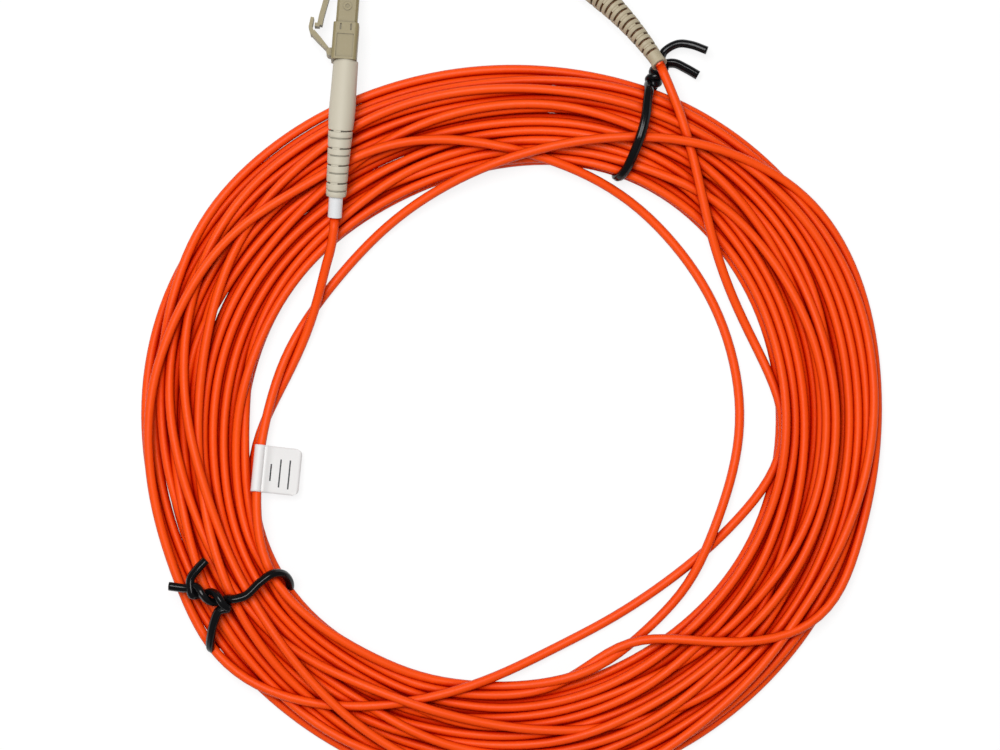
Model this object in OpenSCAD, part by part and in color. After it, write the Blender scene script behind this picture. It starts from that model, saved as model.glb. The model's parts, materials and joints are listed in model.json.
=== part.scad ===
// Duplex-ended optical fibre patch cord: LC plug on one end, SC plug on the other.
// The cord lies wound as a flat ring of loops, held by two twist ties, with a flag label.
// Millimetres, +Z up. The coil's centre is the working origin, and the whole part is then
// moved so that the middle of its footprint lies at 0, 0, 0.

/* [Cord] */
// Outer diameter of the jacket
cord_d = 2; // [1.6:0.1:2.4]
// Diameter of the buffered fibre
fibre_d = 0.9; // [0.6:0.05:0.9]
// Radial room around the fibre in every tube
fibre_room = 0.05; // [0.03:0.01:0.1]

/* [Coil] */
// Diameter over the outermost loop
coil_od = 157.4; // [150:0.2:160]
// Number of loops wound in the two layers, in turns
coil_loops = 18.25; // [12.25:1:18.25]
// Clear gap between neighbouring loops
loop_gap = 0.45; // [0.42:0.01:0.6]
// Height by which the loops rise over each tie
tie_lift = 1.6; // [1.5:0.05:2]

/* [Twist ties] */
// Width of the tie's oval section
tie_w = 1.8; // [1.4:0.1:1.8]
// Thickness of the tie's oval section
tie_t = 1.2; // [0.8:0.1:1.2]
// Turns of twist in each knot
knot_turns = 1.5; // [1:0.5:2]

/* [Flag label] */
// Length of the label along the cord
label_len = 10; // [8:0.5:10]
// Reach of the flag beyond the cord
flag_reach = 9.4; // [7:0.2:10]
// Thickness of the doubled label stock
label_t = 0.25; // [0.2:0.05:0.4]
// Droop of the flag below level, in degrees
flag_droop = 15; // [5:1:20]

/* [LC plug] */
// Width and height of the front housing
lc_w = 4.5; // [4.4:0.1:4.7]
// Length of the front housing ahead of the rear body
lc_front_len = 15; // [14:0.5:16]
// Width and height of the rear body
lc_rear_w = 5.4; // [5.3:0.1:5.8]
// Length of the rear body
lc_rear_len = 8; // [7:0.5:9]
// Diameter of the ferrule
lc_ferrule_d = 1.25; // [1.25:0.01:1.25]
// Length of the ferrule
lc_ferrule_len = 8.5; // [8:0.1:9]
// Reach of the ferrule beyond the front face
lc_ferrule_out = 2.1; // [1.6:0.1:2.4]
// Spring travel of the ferrule
lc_travel = 1.2; // [0.8:0.1:1.4]
// Diameter of the recess round the ferrule
lc_recess_d = 3; // [2.8:0.1:3.1]
// Depth of that recess
lc_recess_depth = 4.3; // [4:0.1:4.6]
// Length of the boot
lc_boot_len = 28.8; // [27:0.2:30]
// Radius of the boot at its widest
lc_boot_r = 2.7; // [2.6:0.05:2.8]
// Radius of the boot at its cord end
lc_boot_end_r = 2.2; // [2.1:0.05:2.3]
// Outer diameter of the white sleeve on the cord
sleeve_d = 3; // [2.8:0.1:3.1]
// Length of that sleeve beyond the boot
sleeve_out = 4.6; // [3:0.2:6]
// Width of the latch arm
latch_w = 2.2; // [1.8:0.1:2.6]
// Thickness of the latch arm
latch_t = 1.1; // [0.9:0.1:1.2]

/* [SC plug] */
// Width of the sliding grip
sc_w = 9; // [8.8:0.1:9.4]
// Height of the sliding grip
sc_h = 7.4; // [7.2:0.1:7.6]
// Length of the sliding grip
sc_grip_len = 24; // [22:0.5:25]
// Wall of the sliding grip
sc_wall = 0.8; // [0.7:0.05:0.85]
// Diameter of the ferrule
sc_ferrule_d = 2.5; // [2.5:0.01:2.5]
// Length of the ferrule
sc_ferrule_len = 10.5; // [10:0.1:11]
// Reach of the ferrule beyond the plug frame
sc_ferrule_out = 3; // [2.6:0.1:3.4]
// Spring travel of the ferrule
sc_travel = 1.5; // [1:0.1:1.8]
// Backward travel of the grip
sc_grip_travel = 2; // [1.5:0.1:2.2]
// Diameter of the recess round the ferrule
sc_recess_d = 4.2; // [4.1:0.1:4.3]
// Depth of that recess
sc_recess_depth = 4.8; // [4.4:0.1:5.2]
// Radius of the boot where it leaves the grip
sc_boot_r = 3.2; // [3.1:0.05:3.3]
// Radius of the boot at its cord end
sc_boot_end_r = 1.55; // [1.5:0.05:1.7]

/* [Fits] */
// Play of a part that slides or turns in another
running = 0.05; // [0.03:0.01:0.06]
// Play of a part that is assembled in another
seat = 0.04; // [0.02:0.01:0.06]
// Room between the grip and the plug frame, each side
grip_room = 0.2; // [0.15:0.01:0.25]

/* [Hidden] */

round_fn = 48;
eps = 0.01;
cord_r = cord_d / 2;
fibre_r = fibre_d / 2;
sleeve_r = sleeve_d / 2;

// ---------- vectors and tubes ----------

function unit(v) = v / norm(v);
function reversed(list) = [for (i = [len(list) - 1 : -1 : 0]) list[i]];
function part_of(list, a, b) = [for (i = [a : 1 : b]) list[i]];
function spin_z(p, a) = [p.x * cos(a) - p.y * sin(a), p.x * sin(a) + p.y * cos(a), p.z];
function spin_y(p, a) = [p.x * cos(a) + p.z * sin(a), p.y, -p.x * sin(a) + p.z * cos(a)];
function spin_x(p, a) = [p.x, p.y * cos(a) - p.z * sin(a), p.y * sin(a) + p.z * cos(a)];

// Direction of travel at every point of a path
function headings(path) = [
    for (i = [0 : len(path) - 1])
        unit(path[min(i + 1, len(path) - 1)] - path[max(i - 1, 0)])
];

// Side vectors of a path that stays near level
function level_sides(path) = [for (t = headings(path)) unit(cross([0, 0, 1], t))];

// Side vectors carried along a path without twist, from a first one
function carried_sides(ways, first) = [
    for (i = 0, s = unit(first - (first * ways[0]) * ways[0]);
         i < len(ways);
         s = i + 1 < len(ways) ? unit(s - (s * ways[i + 1]) * ways[i + 1]) : s, i = i + 1)
        s
];

// Points of a tube: one ring of an oval section at each point of the path
function ring_points(path, sides, a, b, corners, turn, floor_z) = [
    let (ways = headings(path))
    for (i = [0 : len(path) - 1])
        let (up = cross(ways[i], sides[i]))
        for (k = [0 : corners - 1])
            let (w = turn + 360 * k / corners,
                 p = path[i] + a * cos(w) * sides[i] + b * sin(w) * up)
            [p.x, p.y, max(p.z, floor_z)]
];

function ring_faces(rings, corners) = concat(
    [for (i = [0 : rings - 2], k = [0 : corners - 1])
        let (a = i * corners + k, b = i * corners + (k + 1) % corners)
        [a, a + corners, b]],
    [for (i = [0 : rings - 2], k = [0 : corners - 1])
        let (a = i * corners + k, b = i * corners + (k + 1) % corners)
        [b, a + corners, b + corners]],
    [for (k = [1 : corners - 2]) [0, k, k + 1]],
    [for (k = [1 : corners - 2])
        let (z = (rings - 1) * corners)
        [z, z + k + 1, z + k]]
);

module tube_along(path, sides, a, b, corners, turn = 0, floor_z = -1000) {
    polyhedron(
        points = ring_points(path, sides, a, b, corners, turn, floor_z),
        faces = ring_faces(len(path), corners)
    );
}

// Solid tube for a free stretch of cord, a flat side down, no lower than the ground
module cord_tube(path) {
    corners = 8;
    tube_along(path, level_sides(path), cord_r, cord_r, corners, 180 / corners, 0);
}

// ---------- places round the coil ----------

// The routes, ties and plugs below were placed round a coil whose outermost loop has its
// centre at this radius, and move in or out with the coil's real one
placed_r = 77.7;
r_out = (coil_od - cord_d) / 2;
coil_growth = r_out - placed_r;
function out_with_coil(p) =
    let (way = unit([p.x, p.y])) [p.x + coil_growth * way.x, p.y + coil_growth * way.y, p.z];

// ---------- the two plugs in the part's frame ----------

// LC plug: a point on its axis where the boot meets the rear body, heading and nose-down tilt
lc_pos = out_with_coil([-35, 78.5, 6.1]);
lc_heading = 86;
lc_tilt = 9.5;
// SC plug: where the boot meets the grip, heading and nose-down tilt
sc_pos = out_with_coil([13.1, 98.4, 4.35]);
sc_heading = 137.2;
sc_tilt = 1.4;

function lc_world(p) = lc_pos + spin_z(spin_y(p, lc_tilt), lc_heading);
function sc_world(p) = sc_pos + spin_z(spin_y(p, sc_tilt), sc_heading);
// From the coil's centre to the part's own frame
footprint_middle = [0.86, 20.65, 0];
module in_place() translate(-footprint_middle) children();
module lc_place() in_place() translate(lc_pos) rotate([0, lc_tilt, lc_heading]) children();
module sc_place() in_place() translate(sc_pos) rotate([0, sc_tilt, sc_heading]) children();

// Each boot runs straight back from x = 0, then bends: start of the bend, its radius,
// the roll of its plane about the plug's axis and its angle
lc_straight = 14.5;
lc_bend_r = 41;
lc_bend_roll = -90;
lc_bend_angle = (lc_boot_len - lc_straight) / lc_bend_r * 180 / PI;
sc_straight = 10;
sc_bend_r = 70;
sc_bend_roll = 15;
sc_bend_len = 18;
sc_bend_angle = sc_bend_len / sc_bend_r * 180 / PI;

function bend_point(x0, r, roll, a) = spin_x([-x0 - r * sin(a), r * (1 - cos(a)), 0], roll);
function bend_way(roll, a) = spin_x([-cos(a), sin(a), 0], roll);

// Frame in which rotate_extrude sweeps the bend: its start lies on +X, its travel is +Y
module at_bend(x0, r, roll) {
    rotate([roll, 0, 0]) translate([-x0, r, 0]) rotate([180, 0, -90]) children();
}

lc_tube_end = bend_point(lc_straight, lc_bend_r, lc_bend_roll, lc_bend_angle)
    + sleeve_out * bend_way(lc_bend_roll, lc_bend_angle);
lc_cord_start = lc_world(lc_tube_end);
lc_cord_way = lc_world(lc_tube_end + bend_way(lc_bend_roll, lc_bend_angle)) - lc_cord_start;
sc_tip = bend_point(sc_straight, sc_bend_r, sc_bend_roll, sc_bend_angle);
sc_cord_start = sc_world(sc_tip);
sc_cord_way = sc_world(sc_tip + bend_way(sc_bend_roll, sc_bend_angle)) - sc_cord_start;

// ---------- coil ----------

ring_step = 15;
first_angle = -83;
tie_angles = [67, -143];
flat_cut = cord_d / 10;
pitch = cord_d + loop_gap;
low_z = cord_r - flat_cut;
high_z = low_z + pitch;
coil_rings = round(coil_loops * 360 / ring_step);

function turns_at(i) = i * ring_step / 360;
function coil_angle(i) = first_angle - i * ring_step;
// The spiral runs out at a steady rate and back in, the upper layer first
function coil_radius(t) = r_out - pitch * abs(t - coil_loops / 2);
function coil_level(t) = high_z - pitch * min(1, max(0, (t - coil_loops / 2) * 2 + 0.5));
function same_way(a, b) = abs(((a - b) % 360 + 540) % 360 - 180) < eps;
function lift_at(a) = len([for (t = tie_angles) if (same_way(a, t)) t]) > 0 ? tie_lift : 0;
function coil_point(i) = [
    coil_radius(turns_at(i)) * cos(coil_angle(i)),
    coil_radius(turns_at(i)) * sin(coil_angle(i)),
    coil_level(turns_at(i)) + lift_at(coil_angle(i))
];
coil_points = [for (i = [0 : coil_rings]) coil_point(i)];
// Both ends run on beside the loops next to them, as one more side of the loop would
coil_in_way = spin_z(unit(coil_points[1] - coil_points[0]), ring_step);
coil_out_way = spin_z(unit(coil_points[coil_rings] - coil_points[coil_rings - 1]), -ring_step);
coil_entry = coil_points[0] - cord_d * coil_in_way;
coil_exit = coil_points[coil_rings] + cord_d * coil_out_way;
coil_path = concat([coil_entry], coil_points, [coil_exit]);

// Ring centres and the middles between them, for measuring the least gap
gap_points = [for (i = [0 : coil_rings - 1], m = [0, 0.5])
    coil_points[i] * (1 - m) + coil_points[i + 1] * m];
gap_start = 360 / ring_step;

// ---------- routes of the free stretches, chosen by hand ----------

// The straight stretch that carries the label
label_from = out_with_coil([-53.6, -14.5, 5.8]);
label_to = out_with_coil([-52.4, -2.5, 4.3]);

// From the SC boot over the ring, round inside it, round on top of it and into the coil,
// with the label's stretch between the two lists
loose_route = [
    // first turn, from the SC plug
    [37.1, 66.5, 6.4], [41.8, 44.1, 5.4], [44.9, 34.5, 5.4], [47.8, 26, 4.4], [53.3, 8, 1.1],
    [52.5, -10, 1.1], [42.5, -24, 1.1], [24, -37, 1.1], [1, -49.6, 2.8], [-7.5, -53, 5.4],
    [-30, -58.5, 5.5], [-50.5, -56, 5.8], [-58.5, -52.8, 4.9], [-65.4, -49, 3], [-70.4, -41, 2.8],
    [-76, -20, 4.6], [-76.4, 5, 5.4], [-73.4, 18, 5.4], [-67, 31.5, 5.4], [-57, 43, 5.4],
    [-46, 51.5, 5.4], [-28, 61, 5.4], [-6, 62.4, 5.4],
    // second turn
    [10, 57.8, 5.5], [15, 53.6, 6.1], [19.2, 48.3, 4.5], [33, 39.6, 1.1], [40.8, 31.5, 1.1],
    [46.3, 19, 1.1], [49.3, 5, 1.1], [48.4, -7, 1.4], [42, -24.4, 3.5], [28.7, -42, 1.1],
    [24, -46.5, 3], [19.5, -50.2, 5.4], [8.5, -53.1, 5.2], [2.5, -52.6, 3.2], [-5, -52.8, 1.2],
    [-15, -50.6, 1.1], [-26, -47.4, 5.5], [-34, -44.2, 5.6], [-45.8, -34.2, 7], [-50.2, -27, 6.4]
];
// past the label
label_route = [
    [-49.9, 9, 3.3], [-43.6, 22, 1.1], [-30, 38.8, 1.2], [-14, 49.8, 4.9],
    // third turn
    [10.5, 58.8, 7.9], [24.5, 61.6, 7.1], [38.5, 61.6, 8.4], [54, 56.6, 5.2], [61.5, 52, 2.6],
    [69, 43.6, 1.1], [75, 30.5, 1.1], [78, 15, 1.1], [78.6, -1, 1.1], [77, -16, 1.1],
    [71.6, -34, 2.4], [68.5, -39.3, 4.9], [63, -42.8, 5.5], [36.6, -42.2, 5.5], [29.5, -42.2, 4.3],
    [23.6, -43.8, 3.5], [19.6, -47.6, 3.25]
];

// From the inner end of the coil to the LC plug
lead_route = [
    [-54.6, 1.2, 1.1], [-52.3, 4.7, 1.1], [-49, 8.4, 1.1], [-45.2, 13, 1.2], [-42.2, 19.5, 2],
    [-40.4, 25.2, 3.4], [-39.5, 30, 4.5], [-38.9, 35.5, 5.6]
];

route_lead_in = 3;
loose_path = concat(
    [sc_cord_start, sc_cord_start + route_lead_in * sc_cord_way],
    [for (p = loose_route) out_with_coil(p)],
    [label_from, label_to],
    [for (p = label_route) out_with_coil(p)],
    [coil_entry - route_lead_in * coil_in_way, coil_entry]
);
lead_path = concat(
    [coil_exit, coil_exit + route_lead_in * coil_out_way],
    [for (p = lead_route) out_with_coil(p)],
    [lc_cord_start + route_lead_in * lc_cord_way, lc_cord_start]
);

// ---------- cord ----------

module cord_coil() {
    corners = 6;
    color("orangered") in_place()
        tube_along(coil_path, level_sides(coil_path), cord_r, cord_r, corners, 0, 0);
}

module cord_loose_turns() {
    color("orangered") in_place() cord_tube(loose_path);
}

module cord_lead_lc() {
    color("orangered") in_place() cord_tube(lead_path);
}

// ---------- twist ties ----------

// A tie's route is given across the coil: outwards, along the turns and up
knot_r = tie_w / 2 + 0.08;
knot_steps = 9;
// One of the two strands of a knot, twisted about the line from a to b
function knot_strand(a, b, phase, up) = [
    let (way = unit(b - a), side = unit(cross(up, way)), rise = cross(way, side))
    for (i = [0 : knot_steps])
        let (w = phase + 360 * knot_turns * i / knot_steps)
        a + (b - a) * i / knot_steps + knot_r * (cos(w) * side + sin(w) * rise)
];

upper_knot = [[79.8, 0.9, 2.1], [84.6, 0.9, 2.1]];
upper_ring = [
    [79.2, 1.2, 5.2], [77.4, 0.9, 6.9], [72.5, 0.5, 8.6], [66.8, 0.2, 9.2], [60.5, 0, 8.3],
    [56.2, 0, 7.2], [54.2, 0, 5.4], [53.8, 0, 3], [54.6, 0, 1.2], [57.5, 0, 0.65],
    [64, 0, 0.65], [71, 0, 0.65], [76.6, 0.2, 0.65]
];
upper_tail_a = [[87.4, 1.2, 2.6], [90, -0.8, 3.2], [90.9, -3.6, 3.8], [91, -7, 4.2]];
upper_tail_b = [[86, -1.6, 1.5], [86, -4.4, 1.6], [85.6, -7.4, 1.8]];
upper_path = concat(
    reversed(upper_tail_b),
    reversed(knot_strand(upper_knot[0], upper_knot[1], 60, [0, 0, 1])),
    upper_ring,
    knot_strand(upper_knot[0], upper_knot[1], 240, [0, 0, 1]),
    upper_tail_a
);

lower_knot = [[69.6, -7.4, 7.9], [73.9, -13, 7.7]];
lower_ring = [
    [66.4, -7.8, 7.6], [62.4, -7.4, 7.8], [58.6, -6.4, 8.8], [55.6, -5, 8.5], [53.7, -3.7, 6.6],
    [53.1, -2.7, 4.4], [53.2, -1.8, 2.2], [54.6, -1.2, 0.9], [57.5, -1, 0.65], [65, -1, 0.65],
    [72, -1, 0.65], [77, -1.1, 0.7], [79, -1.8, 2], [79.2, -3, 4.2], [78, -4.4, 6.2],
    [74.6, -5.8, 7.4]
];
lower_tail_a = [[75.9, -15, 7.2], [78.2, -17.4, 6.8]];
lower_tail_b = [[73, -16, 8.4], [70.2, -17.2, 8.6], [67.6, -18.2, 8.6]];
lower_path = concat(
    reversed(lower_tail_a),
    reversed(knot_strand(lower_knot[0], lower_knot[1], 180, [0, 0, 1])),
    lower_ring,
    knot_strand(lower_knot[0], lower_knot[1], 0, [0, 0, 1]),
    lower_tail_b
);

// The oval lies flat under the coil and is carried from there to both tails
module tie_along(path, under) {
    corners = 8;
    ways = headings(path);
    before = reversed(carried_sides(reversed(part_of(ways, 0, under)), [0, 1, 0]));
    after = carried_sides(part_of(ways, under, len(path) - 1), [0, 1, 0]);
    sides = concat(part_of(before, 0, under - 1), after);
    tube_along(path, sides, tie_w / 2, tie_t / 2, corners, 180 / corners);
}

module tie_upper() {
    under = len(upper_tail_b) + knot_steps + 1 + 10;
    color("black") in_place() rotate([0, 0, tie_angles[0]]) translate([coil_growth, 0, 0])
        tie_along(upper_path, under);
}

module tie_lower() {
    under = len(lower_tail_a) + knot_steps + 1 + 9;
    color("black") in_place() rotate([0, 0, tie_angles[1]]) translate([coil_growth, 0, 0])
        tie_along(lower_path, under);
}

// ---------- label ----------

// A narrow strip folded round the cord, its two halves joined as a square flag
label_way = unit(label_to - label_from);
label_corner_r = 1.2;

module flag_outline(root) {
    inner_w = label_len - 2 * label_corner_r;
    wide = flag_reach - label_corner_r - root;
    translate([-label_len / 2, label_corner_r - flag_reach]) square([label_len, wide]);
    translate([-inner_w / 2, -flag_reach]) square([inner_w, 2 * label_corner_r]);
    for (k = [-1, 1])
        translate([k * inner_w / 2, label_corner_r - flag_reach]) circle(label_corner_r, $fn = round_fn);
}

module label_flag() {
    wrap_r = cord_r + seat;
    wrap_wall = label_t / 2;
    slope = asin(label_way.z);
    heading = atan2(label_way.y, label_way.x);
    color("white") in_place() translate((label_from + label_to) / 2) rotate([0, -slope, heading]) {
        pipe(-label_len / 2, label_len / 2, wrap_r + wrap_wall, wrap_r);
        rotate([flag_droop, 0, 0]) translate([0, 0, -label_t / 2])
            linear_extrude(label_t) flag_outline(wrap_r + wrap_wall / 2);
    }
}

// ---------- shapes that both plugs share, along their own x axis ----------

module bar(from, to, r) {
    translate([from, 0, 0]) rotate([0, 90, 0]) cylinder(r = r, h = to - from, $fn = round_fn);
}

module cone(from, to, r1, r2) {
    translate([from, 0, 0]) rotate([0, 90, 0])
        cylinder(r1 = r1, r2 = r2, h = to - from, $fn = round_fn);
}

module pipe(from, to, outer, inner) {
    difference() {
        bar(from, to, outer);
        bar(from - 1, to + 1, inner);
    }
}

module chamfered_rect(w, h, cut) {
    polygon([
        [w / 2, h / 2 - cut], [w / 2 - cut, h / 2], [cut - w / 2, h / 2], [-w / 2, h / 2 - cut],
        [-w / 2, cut - h / 2], [cut - w / 2, -h / 2], [w / 2 - cut, -h / 2], [w / 2, cut - h / 2]
    ]);
}

module rounded_rect(w, h, r) {
    square([w - 2 * r, h], center = true);
    square([w, h - 2 * r], center = true);
    for (i = [-1, 1], k = [-1, 1])
        translate([i * (w / 2 - r), k * (h / 2 - r)]) circle(r, $fn = round_fn);
}

// A section drawn across the axis (width, height), made solid from one x to another
module along_axis(from, to) {
    translate([from, 0, 0]) rotate([90, 0, 90]) linear_extrude(to - from) children();
}

// A profile seen from above (x, y), made solid over a height about the axis
module plate(height) {
    translate([0, 0, -height / 2]) linear_extrude(height) children();
}

// Outline of a strip of given half thickness along a line of points
function strip_side(line, i) =
    let (t = unit(line[min(i + 1, len(line) - 1)] - line[max(i - 1, 0)])) [-t.y, t.x];
function strip(line, half) = concat(
    [for (i = [0 : len(line) - 1]) line[i] + half[i] * strip_side(line, i)],
    [for (i = [len(line) - 1 : -1 : 0]) line[i] - half[i] * strip_side(line, i)]
);

// A round bar that runs straight back from x = front, bends, and runs straight on
// (the bend is a hair thinner, so that its ends lie inside the straight runs)
seam = 0.01;
seam_angle = 0.2;
module bent_bar(front, straight, bend_r, roll, angle, out, r) {
    bar(-straight, front, r);
    at_bend(straight, bend_r, roll) rotate([0, 0, -seam_angle])
        rotate_extrude(angle = angle + seam_angle, $fn = 96)
            translate([bend_r, 0]) circle(r - seam, $fn = round_fn);
    if (out > 0) {
        at_reach(straight + bend_r * angle * PI / 180, straight, bend_r, roll) bar(-out, 0.1, r);
    }
}

// The cross-section at a distance back along the boot
module at_reach(s, straight, bend_r, roll) {
    a = max(0, s - straight) / bend_r * 180 / PI;
    rotate([roll, 0, 0])
        translate([-min(s, straight) - bend_r * sin(a), bend_r * (1 - cos(a)), 0])
            rotate([0, 0, -a]) rotate([-roll, 0, 0]) children();
}

// The bent part of a boot: short rings, each a little thinner than the one before
module boot_rings(straight, bend_r, roll, angle, start_r, end_r, rings) {
    for (i = [0 : rings - 1])
        at_bend(straight, bend_r, roll) rotate([0, 0, i * angle / rings - seam_angle])
            rotate_extrude(angle = angle / rings + seam_angle, $fn = 96)
                translate([bend_r, 0])
                    circle(start_r + (end_r - start_r) * i / (rings - 1), $fn = round_fn);
}

// The straight part of a boot: [radius, distance back] points
module boot_front(profile) {
    rotate([0, -90, 0]) rotate_extrude($fn = round_fn) polygon(profile);
}

// A pair of slots through the wall, above and below the axis or on its two sides
module slot_pair(width, bridge, on_sides) {
    reach = 5;
    for (k = [0, 180])
        rotate([k + (on_sides ? 90 : 0), 0, 0])
            translate([-width / 2, -reach, bridge]) cube([width, 2 * reach, reach]);
}

// Slots at even steps along a boot, turn about on its sides and above and below
module boot_slots(first, step, count, width, bridge, straight, bend_r, roll) {
    for (i = [0 : count - 1])
        at_reach(first + i * step, straight, bend_r, roll) slot_pair(width, bridge, i % 2 == 0);
}

ferrule_chamfer = 0.3;
// The ferrule's rear is thinner where its flange holds it
ferrule_step = 0.16;
module ferrule_pin(back, shoulder, tip, r) {
    bar(back, shoulder, r - ferrule_step);
    bar(shoulder, tip - ferrule_chamfer, r);
    cone(tip - ferrule_chamfer, tip, r, r - ferrule_chamfer / 2);
}

// Flange with a rear spigot: the ferrule sits in its front, the fibre passes its back
module ferrule_flange(front, rear, r, ferrule_back, ferrule_r, spigot, spigot_r) {
    difference() {
        union() {
            bar(rear, front, r);
            bar(rear - spigot, rear, spigot_r);
        }
        bar(ferrule_back, front + 1, ferrule_r - ferrule_step + eps);
        bar(rear - spigot - 1, ferrule_back + eps, fibre_r + fibre_room);
    }
}

// Compression spring whose wire starts and ends square to the faces that it presses on
spring_curls = 5;
function spring_angle(i) = 360 * i / 8;
module spring(from, to, r, wire) {
    steps = 8 * spring_curls;
    rise = (to - from - 2 * wire) / steps;
    xs = concat([from], [for (i = [0 : steps]) from + wire + rise * i], [to]);
    turns = concat([0], [for (i = [0 : steps]) spring_angle(i)], [spring_angle(steps)]);
    spokes = [for (w = turns) [0, cos(w), sin(w)]];
    path = [for (i = [0 : len(xs) - 1]) [xs[i], 0, 0] + r * spokes[i]];
    tube_along(path, spokes, wire / 2, wire / 2, 6);
}

// ---------- LC plug: x = 0 at the rear body's back face ----------

lc_nose = lc_rear_len + lc_front_len;
lc_tip = lc_nose + lc_ferrule_out;
lc_ferrule_r = lc_ferrule_d / 2;
lc_ferrule_back = lc_tip - lc_ferrule_len;
lc_stop = lc_nose - lc_recess_depth;
lc_flange_front = lc_stop - seat;
lc_flange_len = 3;
lc_flange_rear = lc_flange_front - lc_flange_len;
lc_flange_r = lc_recess_d / 2 + 0.1;
lc_cavity_r = lc_flange_r + running;
lc_spigot_len = 1;
lc_spigot_r = 0.9;
lc_guide_wall = 0.3;
lc_guide_r = fibre_r + fibre_room + lc_guide_wall;
lc_stub_len = 4;
lc_stub_r = 2.1;
lc_backbone_front = lc_rear_len + 2;
lc_backbone_rear = 3;
lc_post_rear = -6;
lc_post_r = 1.3;
lc_post_bore_r = lc_guide_r + running;
lc_spring_wire = 0.35;
lc_spring_r = 1.2;
lc_yarn_r = lc_post_r + 0.2;
lc_crimp_rear = -7.5;
lc_crimp_front = 2;
lc_crimp_in_r = lc_yarn_r + seat;
lc_crimp_r = 1.9;
lc_sleeve_front = -8.1;
lc_jacket_front = -6.5;
lc_jacket_bore_back = -10.5;

// The latch turns about a knuckle near the nose, the trigger about one on the rear body
lc_latch_axis = [lc_nose - 1.7, lc_w / 2 + 0.6];
lc_latch_knuckle_r = 0.5;
lc_trigger_axis = [1.6, lc_rear_w / 2 + 0.25];
lc_trigger_knuckle_r = 0.45;
trigger_w = 2.6;
knuckle_wall = 0.35;

function on_axis(origin, points) = [for (p = points) origin + p];

// A half-round seat for a knuckle, carried by a low block on the body's side
module knuckle_seat(axis, r, w, foot_y) {
    outer = r + running + knuckle_wall;
    translate([axis.x, axis.y, 0]) cylinder(r = outer, h = w, center = true, $fn = round_fn);
    translate([axis.x - outer, foot_y, -w / 2]) cube([2 * outer, axis.y - foot_y, w]);
}

// The hollow in that seat, open between two directions in which the arm swings
module knuckle_hollow(axis, r, w, from, to) {
    rim = 1.05 * (r + running + knuckle_wall) / cos((to - from) / 2);
    translate([axis.x, axis.y, 0]) {
        cylinder(r = r + running, h = w, center = true, $fn = round_fn);
        plate(w) polygon([[0, 0], rim * [cos(from), sin(from)], rim * [cos(to), sin(to)]]);
    }
}

module lc_ferrule() {
    color("whitesmoke") lc_place() ferrule_pin(lc_ferrule_back, lc_flange_front, lc_tip, lc_ferrule_r);
}

module lc_ferrule_flange() {
    color("silver") lc_place()
        ferrule_flange(lc_flange_front, lc_flange_rear, lc_flange_r, lc_ferrule_back, lc_ferrule_r,
            lc_spigot_len, lc_spigot_r);
}

module lc_spring() {
    color("gray") lc_place() spring(lc_backbone_front, lc_flange_rear, lc_spring_r, lc_spring_wire);
}

lc_mark_d = 1.8;
lc_mark_h = 0.15;
lc_mark_x = lc_rear_len + 3.6;
lc_chamfer = 0.5;

module lc_housing() {
    seat_w = latch_w + 0.8;
    color("darkkhaki") lc_place() difference() {
        union() {
            along_axis(lc_rear_len, lc_nose) chamfered_rect(lc_w, lc_w, lc_chamfer);
            bar(lc_rear_len - lc_stub_len, lc_rear_len, lc_stub_r);
            knuckle_seat(lc_latch_axis, lc_latch_knuckle_r, seat_w, lc_recess_d / 2 + 0.4);
            translate([lc_mark_x, 0, lc_w / 2 - lc_mark_h]) difference() {
                cylinder(d = lc_mark_d, h = 2 * lc_mark_h, $fn = round_fn);
                cylinder(d = lc_mark_d / 2, h = 3 * lc_mark_h, $fn = round_fn);
            }
        }
        bar(lc_rear_len - lc_stub_len - 1, lc_stop, lc_cavity_r);
        bar(lc_stop - eps, lc_nose + 1, lc_recess_d / 2);
        knuckle_hollow(lc_latch_axis, lc_latch_knuckle_r, latch_w + 2 * running, 128, 214);
    }
}

module lc_latch() {
    line = on_axis(lc_latch_axis, [[0, 0], [-3, 0.65], [-8.1, 1.8], [-11.9, 2.55], [-13.9, 2.8]]);
    arm = latch_t / 2;
    toe = 0.8;
    color("darkkhaki") lc_place() {
        plate(latch_w) polygon(strip(line, [0.3, arm, arm, arm, arm]));
        translate([line[4].x - toe / 2, line[4].y, -latch_w / 2]) cube([toe, 1.05, latch_w]);
        translate([lc_latch_axis.x, lc_latch_axis.y, 0])
            cylinder(r = lc_latch_knuckle_r, h = latch_w, center = true, $fn = round_fn);
    }
}

lc_rear_round = 0.8;
lc_panel = [5, 3.6, 0.18];
lc_vent = [1.4, 0.35, 0.25];

module lc_rear_body() {
    seat_w = trigger_w + 0.8;
    color("darkkhaki") lc_place() difference() {
        union() {
            along_axis(0, lc_rear_len) rounded_rect(lc_rear_w, lc_rear_w, lc_rear_round);
            knuckle_seat(lc_trigger_axis, lc_trigger_knuckle_r, seat_w, lc_stub_r + 0.2);
        }
        bar(lc_rear_len - lc_stub_len - seat, lc_rear_len + 1, lc_stub_r + running);
        bar(-1, lc_rear_len, lc_crimp_r + seat);
        for (k = [-1, 1]) {
            translate([0.5, -lc_panel.y / 2, k * lc_rear_w / 2 - lc_panel.z])
                cube([lc_panel.x, lc_panel.y, 2 * lc_panel.z]);
            for (side = [-1, 1])
                translate([lc_rear_len - 1.7, side * 1.1 - lc_vent.y / 2, k * lc_rear_w / 2 - lc_vent.z])
                    cube([lc_vent.x, lc_vent.y, 2 * lc_vent.z]);
        }
        knuckle_hollow(lc_trigger_axis, lc_trigger_knuckle_r, trigger_w + 2 * running, -18, 85);
    }
}

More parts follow.
